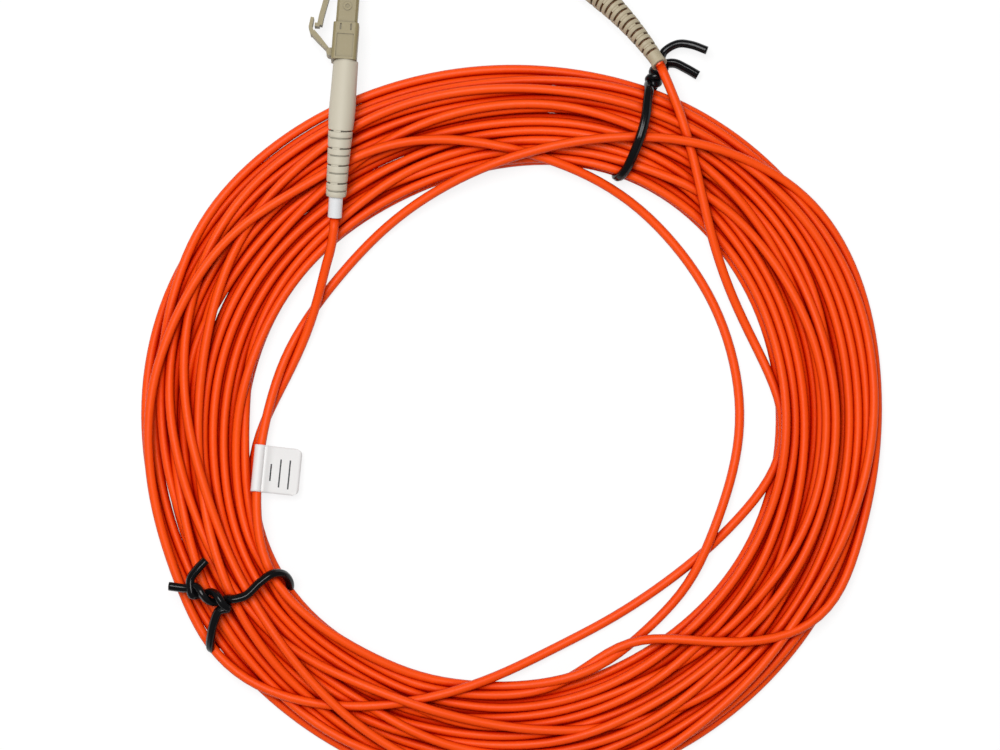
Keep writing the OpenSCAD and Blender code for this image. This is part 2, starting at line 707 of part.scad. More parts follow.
module lc_trigger() {
    arm = on_axis(lc_trigger_axis, [[0, 0], [1, 0.9], [2.6, 2.5], [4.2, 4.1]]);
    hook = on_axis(lc_trigger_axis, [[3.6, 4], [5.2, 4.6], [7.3, 4.35]]);
    color("darkkhaki") lc_place() {
        plate(trigger_w) polygon(strip(arm, [0.3, 0.35, 0.5, 0.55]));
        plate(trigger_w) polygon(strip(hook, [0.4, 0.4, 0.35]));
        translate([lc_trigger_axis.x, lc_trigger_axis.y, 0])
            cylinder(r = lc_trigger_knuckle_r, h = trigger_w, center = true, $fn = round_fn);
    }
}

module lc_backbone() {
    color("dimgray") lc_place() difference() {
        union() {
            bar(lc_backbone_rear, lc_backbone_front, lc_cavity_r - running);
            bar(lc_post_rear, lc_backbone_rear, lc_post_r);
        }
        bar(lc_post_rear - 1, lc_backbone_front + 1, lc_post_bore_r);
    }
}

module lc_crimp_sleeve() {
    color("goldenrod") lc_place() pipe(lc_crimp_rear, lc_crimp_front, lc_crimp_r, lc_crimp_in_r);
}

module lc_yarn() {
    color("gold") lc_place() pipe(lc_post_rear + 1, lc_crimp_front - 1, lc_yarn_r, lc_post_r + seat / 2);
}

module lc_guide_tube() {
    color("azure") lc_place()
        pipe(lc_post_rear + 1, lc_flange_rear - lc_spigot_len, lc_guide_r, fibre_r + fibre_room);
}

module lc_fibre() {
    color("ivory") lc_place() bar(lc_jacket_front - 2, lc_ferrule_back, fibre_r);
}

module lc_jacket_end() {
    color("orangered") lc_place() difference() {
        bent_bar(lc_jacket_front, lc_straight, lc_bend_r, lc_bend_roll, lc_bend_angle, sleeve_out, cord_r);
        bar(lc_jacket_bore_back, lc_jacket_front + 1, fibre_r + fibre_room);
    }
}

module lc_strain_sleeve() {
    color("white") lc_place() difference() {
        bent_bar(lc_sleeve_front, lc_straight, lc_bend_r, lc_bend_roll, lc_bend_angle, sleeve_out, sleeve_r);
        bent_bar(lc_sleeve_front + 1, lc_straight, lc_bend_r, lc_bend_roll, lc_bend_angle,
            sleeve_out + 1, cord_r + seat);
    }
}

lc_boot_front_r = 2.68;
lc_boot_wide_at = 11;
lc_boot_socket = 8;
lc_slot_first = 14.7;
lc_slot_step = 1.83;
lc_slot_count = 8;
lc_slot_w = 0.5;
boot_bridge = 1.2;

module lc_boot() {
    color("antiquewhite") lc_place() difference() {
        union() {
            boot_front([[0, 0], [lc_boot_front_r, 0], [lc_boot_r, lc_boot_wide_at],
                [lc_boot_r, lc_straight], [0, lc_straight]]);
            boot_rings(lc_straight, lc_bend_r, lc_bend_roll, lc_bend_angle, lc_boot_r - 0.1,
                lc_boot_end_r, lc_slot_count);
        }
        bar(-lc_boot_socket, 1, lc_crimp_r + seat);
        bent_bar(0, lc_straight, lc_bend_r, lc_bend_roll, lc_bend_angle, 1, sleeve_r + seat);
        boot_slots(lc_slot_first, lc_slot_step, lc_slot_count, lc_slot_w, boot_bridge,
            lc_straight, lc_bend_r, lc_bend_roll);
    }
}

// ---------- SC plug: x = 0 at the boot's front face ----------

sc_grip_rear = 0.5;
sc_grip_front = sc_grip_rear + sc_grip_len;
sc_frame_w = sc_w - 2 * sc_wall - 2 * grip_room;
sc_frame_h = sc_h - 2 * sc_wall + 0.2 - 2 * grip_room;
sc_frame_rear = 6;
sc_frame_front = sc_grip_front + 1.8;
sc_tip_x = sc_frame_front + sc_ferrule_out;
sc_ferrule_r = sc_ferrule_d / 2;
sc_ferrule_back = sc_tip_x - sc_ferrule_len;
sc_stop = sc_frame_front - sc_recess_depth;
sc_flange_front = sc_stop - seat;
sc_flange_len = 4;
sc_flange_rear = sc_flange_front - sc_flange_len;
sc_flange_r = sc_recess_d / 2 + 0.1;
sc_cavity_r = sc_flange_r + running;
sc_spigot_len = 1.2;
sc_spigot_r = 1.5;
sc_guide_r = 1;
sc_ring_front = sc_frame_rear + 5;
sc_ring_rear = sc_frame_rear + 1;
sc_post_rear = -5;
sc_post_r = 1.6;
sc_post_bore_r = sc_guide_r + running;
sc_spring_wire = 0.45;
sc_spring_r = 1.82;
sc_yarn_r = sc_post_r + 0.2;
sc_crimp_rear = -6.5;
sc_crimp_front = 4;
sc_crimp_in_r = sc_yarn_r + seat;
sc_crimp_r = 2.2;
sc_jacket_front = -5.3;
sc_jacket_bore_back = -9.8;

module sc_ferrule() {
    color("whitesmoke") sc_place()
        ferrule_pin(sc_ferrule_back, sc_flange_front, sc_tip_x, sc_ferrule_r);
}

module sc_ferrule_flange() {
    color("silver") sc_place()
        ferrule_flange(sc_flange_front, sc_flange_rear, sc_flange_r, sc_ferrule_back, sc_ferrule_r,
            sc_spigot_len, sc_spigot_r);
}

module sc_spring() {
    color("gray") sc_place() spring(sc_ring_front, sc_flange_rear, sc_spring_r, sc_spring_wire);
}

// The frame's snaps stand in the grip's side windows and hold the grip on
sc_snap = [2.2, 0.5, 2.4];
sc_snap_x = sc_grip_rear + 10.4;
sc_window = [7, 3.2];
sc_window_x = sc_grip_rear + 8.5;

module sc_plug_frame() {
    color("lightgray") sc_place() difference() {
        union() {
            along_axis(sc_frame_rear, sc_frame_front) chamfered_rect(sc_frame_w, sc_frame_h, 0.5);
            for (k = [-1, 1])
                translate([sc_snap_x, k * sc_frame_w / 2 - sc_snap.y, -sc_snap.z / 2])
                    cube([sc_snap.x, 2 * sc_snap.y, sc_snap.z]);
        }
        bar(sc_frame_rear - 1, sc_stop, sc_cavity_r);
        bar(sc_stop - eps, sc_frame_front + 1, sc_recess_d / 2);
    }
}

sc_key = [16, 2.4, 0.6];
sc_rib = [0.6, 0.25];
sc_rib_step = 1.3;
sc_rib_count = 4;

module sc_grip() {
    cavity_w = sc_frame_w + 2 * grip_room;
    cavity_h = sc_frame_h + 2 * grip_room;
    color("royalblue") sc_place() difference() {
        union() {
            along_axis(sc_grip_rear, sc_grip_front) chamfered_rect(sc_w, sc_h, 0.6);
            translate([sc_grip_front - sc_key.x, -sc_key.y / 2, sc_h / 2 - eps])
                cube([sc_key.x, sc_key.y, sc_key.z]);
            for (i = [0 : sc_rib_count - 1])
                translate([sc_grip_rear + 2 + i * sc_rib_step, -sc_w / 2 - sc_rib.y, -2])
                    cube([sc_rib.x, sc_w + 2 * sc_rib.y, 4]);
        }
        translate([sc_grip_rear + 1.5, 0, 0])
            along_axis(0, sc_grip_len) chamfered_rect(cavity_w, cavity_h, 0.5);
        bar(sc_grip_rear - 1, sc_grip_rear + 2, sc_boot_r + grip_room);
        translate([sc_window_x, -sc_w, -sc_window.y / 2]) cube([sc_window.x, 2 * sc_w, sc_window.y]);
    }
}

module sc_stop_ring() {
    color("silver") sc_place() difference() {
        union() {
            bar(sc_ring_rear, sc_ring_front, sc_cavity_r - running);
            bar(sc_post_rear, sc_ring_rear, sc_post_r);
        }
        bar(sc_post_rear - 1, sc_ring_front + 1, sc_post_bore_r);
    }
}

module sc_crimp_sleeve() {
    color("goldenrod") sc_place() pipe(sc_crimp_rear, sc_crimp_front, sc_crimp_r, sc_crimp_in_r);
}

module sc_yarn() {
    color("gold") sc_place() pipe(sc_post_rear + 0.5, sc_crimp_front - 1, sc_yarn_r, sc_post_r + seat / 2);
}

module sc_guide_tube() {
    color("azure") sc_place()
        pipe(sc_post_rear + 2, sc_flange_rear - sc_spigot_len, sc_guide_r, fibre_r + fibre_room);
}

module sc_fibre() {
    color("ivory") sc_place() bar(sc_jacket_front - 2.5, sc_ferrule_back, fibre_r);
}

module sc_jacket_end() {
    color("orangered") sc_place() difference() {
        bent_bar(sc_jacket_front, sc_straight, sc_bend_r, sc_bend_roll, sc_bend_angle, 0, cord_r);
        bar(sc_jacket_bore_back, sc_jacket_front + 1, fibre_r + fibre_room);
    }
}

sc_boot_mid_r = 2.65;
sc_boot_socket = 7;
sc_slot_first = 8.5;
sc_slot_step = 1.28;
sc_slot_count = 14;
sc_slot_w = 0.5;

module sc_boot() {
    color("antiquewhite") sc_place() difference() {
        union() {
            boot_front([[0, 0], [sc_boot_r, 0], [sc_boot_mid_r, sc_straight], [0, sc_straight]]);
            boot_rings(sc_straight, sc_bend_r, sc_bend_roll, sc_bend_angle, sc_boot_mid_r - 0.05,
                sc_boot_end_r, sc_slot_count);
        }
        bar(-sc_boot_socket, 1, sc_crimp_r + seat);
        bent_bar(0, sc_straight, sc_bend_r, sc_bend_roll, sc_bend_angle, 1, cord_r + seat);
        boot_slots(sc_slot_first, sc_slot_step, sc_slot_count, sc_slot_w, boot_bridge,
            sc_straight, sc_bend_r, sc_bend_roll);
    }
}

// ---------- the nodes ----------

union() {  // cord_coil
    last = len(gap_points) - 1;
    nearest = min([
        for (i = [0 : last - gap_start], j = [i + gap_start : 1 : last])
            norm(gap_points[i] - gap_points[j])
    ]);
    echo(str("cord_coil: least gap to itself, mm: ", nearest - cord_d));
}

cord_coil();
cord_loose_turns();
cord_lead_lc();
tie_upper();
tie_lower();
label_flag();
lc_ferrule();
lc_ferrule_flange();
lc_spring();
lc_housing();
lc_latch();
lc_rear_body();
lc_trigger();
lc_backbone();
lc_crimp_sleeve();
lc_yarn();
lc_guide_tube();
lc_fibre();
lc_jacket_end();
lc_strain_sleeve();
lc_boot();
sc_ferrule();
sc_ferrule_flange();
sc_spring();
sc_plug_frame();
sc_grip();
sc_stop_ring();
sc_crimp_sleeve();
sc_yarn();
sc_guide_tube();
sc_fibre();
sc_jacket_end();
sc_boot();
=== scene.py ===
import json
import math

import bpy
import numpy as np
from bpy.props import FloatProperty, FloatVectorProperty, IntProperty, PointerProperty
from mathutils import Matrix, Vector


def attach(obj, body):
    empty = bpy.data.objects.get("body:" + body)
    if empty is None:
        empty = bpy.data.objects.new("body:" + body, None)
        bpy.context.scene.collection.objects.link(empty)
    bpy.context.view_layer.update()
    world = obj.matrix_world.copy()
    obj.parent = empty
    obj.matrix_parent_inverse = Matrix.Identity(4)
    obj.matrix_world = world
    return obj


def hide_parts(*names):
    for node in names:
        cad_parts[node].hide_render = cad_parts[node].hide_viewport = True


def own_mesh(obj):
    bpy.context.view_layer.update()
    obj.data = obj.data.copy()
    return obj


bl_info = {
    "name": "Fibre patch cord",
    "version": (1, 0, 0),
    "blender": (4, 5, 0),
    "location": "View3D > Sidebar > Patch cord",
    "description": "Looks of a wound fibre patch cord with an LC and an SC plug",
    "category": "Object",
}

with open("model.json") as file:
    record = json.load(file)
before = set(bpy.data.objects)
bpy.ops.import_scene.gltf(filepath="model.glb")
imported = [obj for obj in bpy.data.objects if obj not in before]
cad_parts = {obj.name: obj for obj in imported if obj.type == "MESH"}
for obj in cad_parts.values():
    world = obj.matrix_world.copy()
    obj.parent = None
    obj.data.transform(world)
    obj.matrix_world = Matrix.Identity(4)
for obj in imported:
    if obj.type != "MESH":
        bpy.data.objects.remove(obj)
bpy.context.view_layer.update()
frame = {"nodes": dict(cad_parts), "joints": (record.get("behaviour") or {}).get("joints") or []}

MM = 0.001
TAU = 2 * math.pi

# The routes are written in millimetres round the middle of the coil, which lies here
COIL_MIDDLE = np.array([-0.86, -20.65, 0.0])

CORD_R = 1.0
ROOT = "cord_and_plugs"

# What one step makes and a later one needs: the cord and its line, and pieces that lie on it
LAID = {}


# ---------- places of the two plugs, in millimetres round the coil's middle ----------


def cos_sin(degrees):
    return math.cos(math.radians(degrees)), math.sin(math.radians(degrees))


def spin_x(p, degrees):
    c, s = cos_sin(degrees)
    x, y, z = p
    return np.array([x, y * c - z * s, y * s + z * c])


def spin_y(p, degrees):
    c, s = cos_sin(degrees)
    x, y, z = p
    return np.array([x * c + z * s, y, z * c - x * s])


def spin_z(p, degrees):
    c, s = cos_sin(degrees)
    x, y, z = p
    return np.array([x * c - y * s, x * s + y * c, z])


class PlugPlace:
    """A plug's own frame (x forward along its axis) and the bend of its boot."""

    def __init__(self, origin, heading, tilt, straight, bend_r, roll, length, aside=0.0):
        self.origin = np.array(origin)
        self.heading = heading
        self.tilt = tilt
        self.straight = straight
        self.bend_r = bend_r
        self.roll = roll
        self.length = length
        self.aside = np.array([aside, 0.0, 0.0])

    def world(self, p):
        return self.origin + self.turned(p)

    def turned(self, p):
        return spin_z(spin_y(p, self.tilt), self.heading)

    def at(self, reach, side=0.0, up=0.0):
        """Point at a distance back along the boot, off its centre line."""
        bend = math.degrees(max(0.0, reach - self.straight) / self.bend_r)
        run = min(reach, self.straight)
        a = math.radians(bend)
        back, over = self.bend_r * math.sin(a), self.bend_r * (1 - math.cos(a))
        centre = np.array([-run - back, over, 0.0])
        off = spin_z(spin_x((0.0, side, up), -self.roll), -bend)
        return self.world(spin_x(centre + off, self.roll)) + self.aside

    def beyond(self, past, side=0.0, up=0.0):
        """Point on the straight run past the end of the boot."""
        way = self.at(self.length) - self.at(self.length - 0.01)
        return self.at(self.length, side, up) + way / np.linalg.norm(way) * past


LC = PlugPlace(
    origin=(-35.0, 78.5, 6.1), heading=86.0, tilt=9.5, straight=14.5, bend_r=41.0, roll=-90.0,
    length=28.8, aside=0.45,
)
SC = PlugPlace(
    origin=(13.1, 98.4, 4.35), heading=137.2, tilt=1.4, straight=10.0, bend_r=70.0, roll=15.0,
    length=28.0,
)
# How far the white sleeve stands out of the LC boot, and its radius
LC_SLEEVE_OUT = 4.6
SLEEVE_R = 1.5


def in_frame(points):
    """Millimetres round the coil's middle to metres in the part's frame."""
    return (np.asarray(points, float) + COIL_MIDDLE) * MM


# ---------- route of the free stretches --------------------------

LOOSE_ROUTE = [
    # first turn, from the SC plug
    (34.2, 72.4, 6.3), (35.8, 67.9, 6.4), (37.2, 63.0, 6.4), (38.5, 58.1, 6.2), (39.8, 52.4, 5.9),
    (41.3, 44.0, 5.6), (43.4, 38.4, 5.4), (45.6, 31.8, 4.2), (48.6, 25.3, 2.2), (51.6, 19.4, 1.2),
    (54.6, 13.5, 1.1), (57.4, 7.6, 1.1), (59.2, 1.2, 1.1), (58.2, -5.4, 1.1), (54.9, -11.0, 1.1),
    (48.8, -18.0, 1.1), (42.4, -24.6, 1.1), (30.0, -34.2, 1.1), (19.6, -40.7, 1.1),
    (9.4, -45.8, 1.4), (-0.7, -50.7, 3.2), (-8.8, -53.8, 5.4), (-23.0, -57.2, 5.5),
    (-38.4, -58.0, 5.6), (-50.0, -55.4, 5.4), (-59.4, -51.0, 4.4), (-64.9, -44.8, 3.0),
    (-67.2, -37.6, 3.0), (-70.4, -30.4, 3.4), (-75.2, -14.8, 4.6), (-76.6, 4.0, 5.4),
    (-75.4, 11.4, 5.4), (-72.8, 19.0, 5.4), (-66.0, 33.0, 5.4), (-57.2, 43.8, 5.4),
    (-44.8, 50.8, 5.4), (-30.6, 59.4, 5.4), (-20.2, 62.0, 5.4), (-6.2, 61.4, 5.4),
    # second turn
    (7.3, 58.0, 5.5), (15.2, 55.2, 4.8), (20.0, 52.7, 3.6), (25.2, 49.5, 2.2), (30.3, 45.1, 1.2),
    (38.4, 35.7, 1.1), (42.1, 29.8, 1.1), (45.0, 23.9, 1.1), (48.3, 12.2, 1.1), (49.1, 1.1, 1.1),
    (46.9, -10.5, 2.6), (42.4, -22.9, 3.3), (37.8, -33.0, 1.2), (29.8, -41.2, 1.2),
    (24.6, -45.8, 3.0), (20.4, -49.2, 5.2), (14.4, -51.7, 5.3), (7.4, -53.2, 4.0),
    (-0.7, -54.0, 2.2), (-9.0, -53.7, 1.2), (-19.0, -52.2, 1.6), (-27.0, -48.4, 4.8),
    (-34.4, -44.7, 5.6), (-46.9, -35.2, 7), (-51.9, -28.1, 6.4),
    # the label's stretch, then the third turn
    (-53.4, -14.5, 5.8), (-52.5, -2.5, 4.3), (-50.3, 7.0, 3.3), (-47.3, 16.5, 1.6),
    (-41.5, 25.9, 1.1), (-33.3, 36.1, 1.1), (-23.8, 45.4, 2.4), (-9.8, 54.0, 5.4),
    (4.4, 59.2, 7.6), (17.0, 61.7, 8.1), (31.4, 62.4, 8.4), (44.4, 60.2, 7.2), (56.8, 54.4, 4.4),
    (62.9, 51.3, 2.6), (69.0, 43.2, 1.1), (74.9, 30.8, 1.1), (77.6, 15, 1.1), (77.8, -1, 1.1),
    (76.4, -13.5, 1.1), (71.6, -30.4, 2.2), (70.6, -35.4, 3.2), (68.2, -40.0, 4.6),
    (64.2, -42.6, 5.2), (58.0, -44.2, 5.5), (52.0, -44.8, 5.5), (45.8, -44.3, 5.5),
    (37.0, -42.8, 5.5), (30.6, -42.2, 5.0), (25.6, -43.6, 3.9), (19.6, -46.9, 3.4),
    (11.58, -53.65, 3.25),
]
LEAD_ROUTE = [
    (-54.9, -4.74, 0.9), (-53.8, -1.7, 1.1), (-51.9, 2.2, 1.1), (-49.5, 7.0, 1.1),
    (-47.4, 10.9, 1.1), (-44.9, 15.8, 1.4), (-42.4, 21.5, 2.5), (-40.4, 27.3, 3.7),
    (-38.8, 33.0, 5.0), (-37.8, 38.8, 6.4),
]
LABEL_FROM = np.array([-53.4, -13.6, 5.8])
LABEL_TO = np.array([-52.5, -1.6, 4.3])

# Reach of the wound turns' centres: angle, then the least and the greatest radius there
BAND = [
    (-170, 57.0, 77.6), (-158, 58.0, 77.0), (-146, 61.6, 76.6), (-134, 57.6, 76.4),
    (-115, 55.9, 76.4), (-95, 57.0, 77.4), (-75, 55.2, 77.0), (-55, 54.8, 76.4), (-38, 56.0, 76.6),
    (-20, 57.0, 77.4), (0, 57.5, 77.9), (20, 58.8, 79.3), (40, 60.0, 79.6), (55, 60.9, 79.0),
    (66, 61.0, 77.6), (80, 58.8, 76.8), (95, 56.4, 76.5), (112, 54.6, 77.0), (130, 55.0, 78.4),
    (150, 56.4, 80.4), (165, 56.2, 80.8), (178, 56.2, 79.4),
]
TIE_ANGLES = (67.0, -144.0)

# Turns that leave their place and lie over their neighbours for a while:
# turn in the upper layer, clockwise angle of the middle, half width, shift in radius
RIDERS = [
    (1.6, 150, 70, 3.5), (2.6, 60, 70, 4.0), (3.4, 200, 60, 4.5), (4.3, 95, 70, 6.0),
    (5.2, 255, 70, -4.0), (5.8, 30, 60, 4.0), (6.6, 185, 65, 4.5), (7.3, 310, 80, -6.0),
    (7.8, 90, 60, -4.5), (8.4, 312, 85, -7.5), (9.0, 200, 60, -3.0), (9.4, 305, 85, -8.0),
    (9.9, 100, 70, -5.0), (10.4, 300, 80, -8.0), (10.8, 30, 60, -4.5),
]


# ---------- small curve tools ----------


def through(points, step=1.0):
    """Smooth curve through all points, sampled about every step."""
    p = np.asarray(points, float)
    p = np.vstack([2 * p[0] - p[1], p, 2 * p[-1] - p[-2]])
    out = []
    for i in range(1, len(p) - 2):
        p0, p1, p2, p3 = p[i - 1], p[i], p[i + 1], p[i + 2]
        t0 = 0.0
        t1 = t0 + math.sqrt(np.linalg.norm(p1 - p0))
        t2 = t1 + math.sqrt(np.linalg.norm(p2 - p1))
        t3 = t2 + math.sqrt(np.linalg.norm(p3 - p2))
        n = max(2, int(np.linalg.norm(p2 - p1) / step))
        t = np.linspace(t1, t2, n, endpoint=False)[:, None]
        a1 = (t1 - t) / (t1 - t0) * p0 + (t - t0) / (t1 - t0) * p1
        a2 = (t2 - t) / (t2 - t1) * p1 + (t - t1) / (t2 - t1) * p2
        a3 = (t3 - t) / (t3 - t2) * p2 + (t - t2) / (t3 - t2) * p3
        b1 = (t2 - t) / (t2 - t0) * a1 + (t - t0) / (t2 - t0) * a2
        b2 = (t3 - t) / (t3 - t1) * a2 + (t - t1) / (t3 - t1) * a3
        out.append((t2 - t) / (t2 - t1) * b1 + (t - t1) / (t2 - t1) * b2)
    out.append(p[-2][None])
    return np.vstack(out)


def evenly(points, step):
    """The same curve with points at even steps."""
    p = np.asarray(points, float)
    run = np.concatenate([[0], np.cumsum(np.linalg.norm(np.diff(p, axis=0), axis=1))])
    count = max(2, int(round(run[-1] / step)) + 1)
    at = np.linspace(0, run[-1], count)
    return np.stack([np.interp(at, run, p[:, k]) for k in range(3)], 1)


def soft_step(x):
    x = np.clip(x, 0, 1)
    return x * x * (3 - 2 * x)


def hump(x):
    """1 at 0, falling smoothly to 0 at 1 and beyond."""
    return 1 - soft_step(np.abs(x))


def headings(path):
    d = np.gradient(path, axis=0)
    return d / np.linalg.norm(d, axis=1)[:, None]


def level_side(way):
    """Level side vectors, to the left of one heading or of each."""
    side = np.cross((0.0, 0.0, 1.0), way)
    return side / np.linalg.norm(side, axis=-1, keepdims=True)


def carried_sides(ways, first):
    """Side vectors carried along a path without twist."""
    side = first - np.dot(first, ways[0]) * ways[0]
    out = []
    for way in ways:
        side = side - np.dot(side, way) * way
        side = side / np.linalg.norm(side)
        out.append(side)
    return np.array(out)


# ---------- the lie of the cord ----------

# Nodes in each turn while the cord settles, number of wound turns, distance at which two turns
# touch, and the angles over which the band's limits are evened out
NODES_A_TURN = 128
WOUND_TURNS = 22
TOUCH = 2 * CORD_R - 0.06
PLACE_BLUR = np.linspace(-18, 18, 13)

# The coil: height of the lower layer's centres, how much higher the upper layer and a rider lie,
# the turns over which one layer passes into the other, the outermost turn's place in the band,
# the mean width of the band, the least and greatest place in it, and how far out of it a turn
# may be pushed
LOWER_LAYER_Z = 1.0
LAYER_RISE = 2.0
LAYER_CHANGE = 0.5
RIDER_RISE = 2.3
OUTERMOST = 1.03
BAND_WIDTH = 21.0
PLACE_LIMITS = (-0.1, 1.02)
BAND_SLACK = 0.4
UNBOUND = 200.0

# Slow wander of the turns in their layer: size, waves round the coil, change a turn and phase.
# It fades out over some turns at both ends and close to the rim, and is weaker below.
WANDER = [(0.040, 1, 0.9, 0), (0.045, 2, 2.3, 1.8), (0.035, 3, 4.1, 2)]
WANDER_FADE = 1.2
WANDER_RIM = (1.05, 0.15)
WANDER_LEAST = 0.2
WANDER_BELOW = 0.3

# Settling: passes, fall in each, and how far a pass evens out bends, pulls the free stretches
# back to their route and pushes touching turns apart, with how far past touch it looks for them;
# then how firmly it draws a node back to its own radius and how much the node gives way (lower
# layer, upper layer, free stretches)
SETTLE_PASSES = 400
FALL = 0.03
EVENING = 0.35
ROUTE_PULL = 0.06
PUSH_SHARE = 0.8
LOOK_PAST_TOUCH = 0.5
HOLD = (0.1, 0.02, 0.35)
GIVE = (0.3, 1.0, 0.12)
CEILING_EVERY = 10
FINISHING_PASSES = 10

# Room that a tie takes under the coil, half the angle over which the coil rises to it, and the
# radii between which the tie lies
TIE_LIFT = 1.8
TIE_HALF_ANGLE = 14
TIE_RADII = (56, 80)

# Where the LC boot may stand over the cord, its radius in front, how much thinner it gets and
# over what reach, and the clearance under it
LC_BOOT_ANGLE = 127
LC_BOOT_HALF_ANGLE = 16
LC_BOOT_R = 2.75
LC_BOOT_THINNING = 0.45
LC_BOOT_THINS_OVER = 12
UNDER_BOOT = 0.05
FAR_ABOVE = 99.0


def clockwise_angle(points):
    return -np.degrees(np.unwrap(np.arctan2(points[:, 1], points[:, 0])))


def band_limits(theta):
    """Least and greatest radius of the wound turns at each angle."""
    table = np.array(BAND)
    angle = (theta + 180) % 360 - 180
    return [
        np.mean([np.interp(angle + d, table[:, 0], radius, period=360) for d in PLACE_BLUR], axis=0)
        for radius in (table[:, 1], table[:, 2])
    ]


def lc_ceiling(x, y):
    """Highest centre of a cord that passes under the LC boot at each place."""
    reach = np.arange(0.0, LC.length + 0.1, 0.8)
    axis = [LC.at(s) for s in reach]
    thinned = [soft_step((s - LC.straight) / LC_BOOT_THINS_OVER) for s in reach]
    radius = [LC_BOOT_R - LC_BOOT_THINNING * share for share in thinned]
    for past in (1.0, 2.0, 3.0, 4.0):
        axis.append(LC.beyond(past))
        radius.append(SLEEVE_R)
    top = np.full(len(x), FAR_ABOVE)
    for centre, r in zip(axis, radius):
        d = np.hypot(x - centre[0], y - centre[1])
        room = r + CORD_R + UNDER_BOOT
        low = centre[2] - np.sqrt(np.maximum(room * room - d * d, 0))
        top = np.where(d < room, np.minimum(top, low), top)
    return top


def wound_lie(t, turns, theta, first, last):
    """Where the wound turns would lie by themselves: out in the upper layer and back in the
    lower one, with a slow wander and the riders. t counts turns from the coil's start. The
    first result is the place in the band, from its inner edge (0) to its outer edge (1)."""
    top = upper_turns(turns)
    outward = first + (OUTERMOST - first) * t / top
    inward = OUTERMOST + (last - OUTERMOST) * (t - top) / (turns - top)
    inward = np.maximum(inward, last * soft_step((t - turns) / 0.25 + 1))
    share = np.where(t < top, outward, inward)
    th = np.radians(theta)
    wander = sum(size * np.sin(n * th + change * t + phase) for size, n, change, phase in WANDER)
    ends = np.clip(t / WANDER_FADE, 0, 1) * np.clip((turns - t) / WANDER_FADE, 0, 1)
    rim = np.clip((WANDER_RIM[0] - share) / WANDER_RIM[1], WANDER_LEAST, 1)
    share = share + wander * ends * rim * np.where(t < top, 1.0, WANDER_BELOW)
    lowered = soft_step((t - top) / LAYER_CHANGE + 0.5)
    height = LOWER_LAYER_Z + LAYER_RISE - LAYER_RISE * lowered
    for turn, middle, half, shift in RIDERS:
        s = hump(((t - turn) * 360 - middle) / half)
        share = share + shift / BAND_WIDTH * s
        height = height + RIDER_RISE * (s > 0.15)
    return share, height


def upper_turns(turns):
    """How many of the wound turns lie in the upper layer."""
    return 0.5 * turns + 0.1


def pairs_at_same_angle(count, step):
    """Pairs of nodes that lie at the same angle in different turns."""
    columns = int(round(360 / step))
    rows = count // columns + 1
    grid = np.arange(columns)[:, None] + columns * np.arange(rows)[None]
    inside = grid <= count
    one, two = np.triu_indices(rows, 1)
    both = (inside[:, one] & inside[:, two]).ravel()
    return grid[:, one].ravel()[both], grid[:, two].ravel()[both]


def even_out(value, rest, share):
    """Move each node towards the middle of its neighbours, measured from a line at rest."""
    d = value - rest
    lap = np.zeros_like(value)
    lap[1:-1] = 0.5 * (d[:-2] + d[2:]) - d[1:-1]
    value += share * lap


def push_apart(r, z, a, b, slope, give, moving):
    """Part the pairs of nodes whose turns cut into each other."""
    dr = r[b] - r[a]
    near = np.abs(dr) < TOUCH + LOOK_PAST_TOUCH
    i, j = a[near], b[near]
    dr = dr[near]
    dz = z[j] - z[i]
    flat = 1 / np.sqrt(1 + (slope[j] - slope[i]) ** 2)
    dist = np.sqrt((dr * flat) ** 2 + dz * dz) + 1e-6
    hit = dist < TOUCH
    i, j, dr, dz, dist, flat = i[hit], j[hit], dr[hit], dz[hit], dist[hit], flat[hit]
    push = PUSH_SHARE * (TOUCH - dist) / dist
    share = np.maximum(give[i] + give[j], 1e-3)
    np.add.at(r, i, -push * dr * flat * give[i] / share)
    np.add.at(r, j, push * dr * flat * give[j] / share)
    share = np.maximum(moving[i] + moving[j], 1e-3)
    np.add.at(z, i, -push * dz * moving[i] / share)
    np.add.at(z, j, push * dz * moving[j] / share)


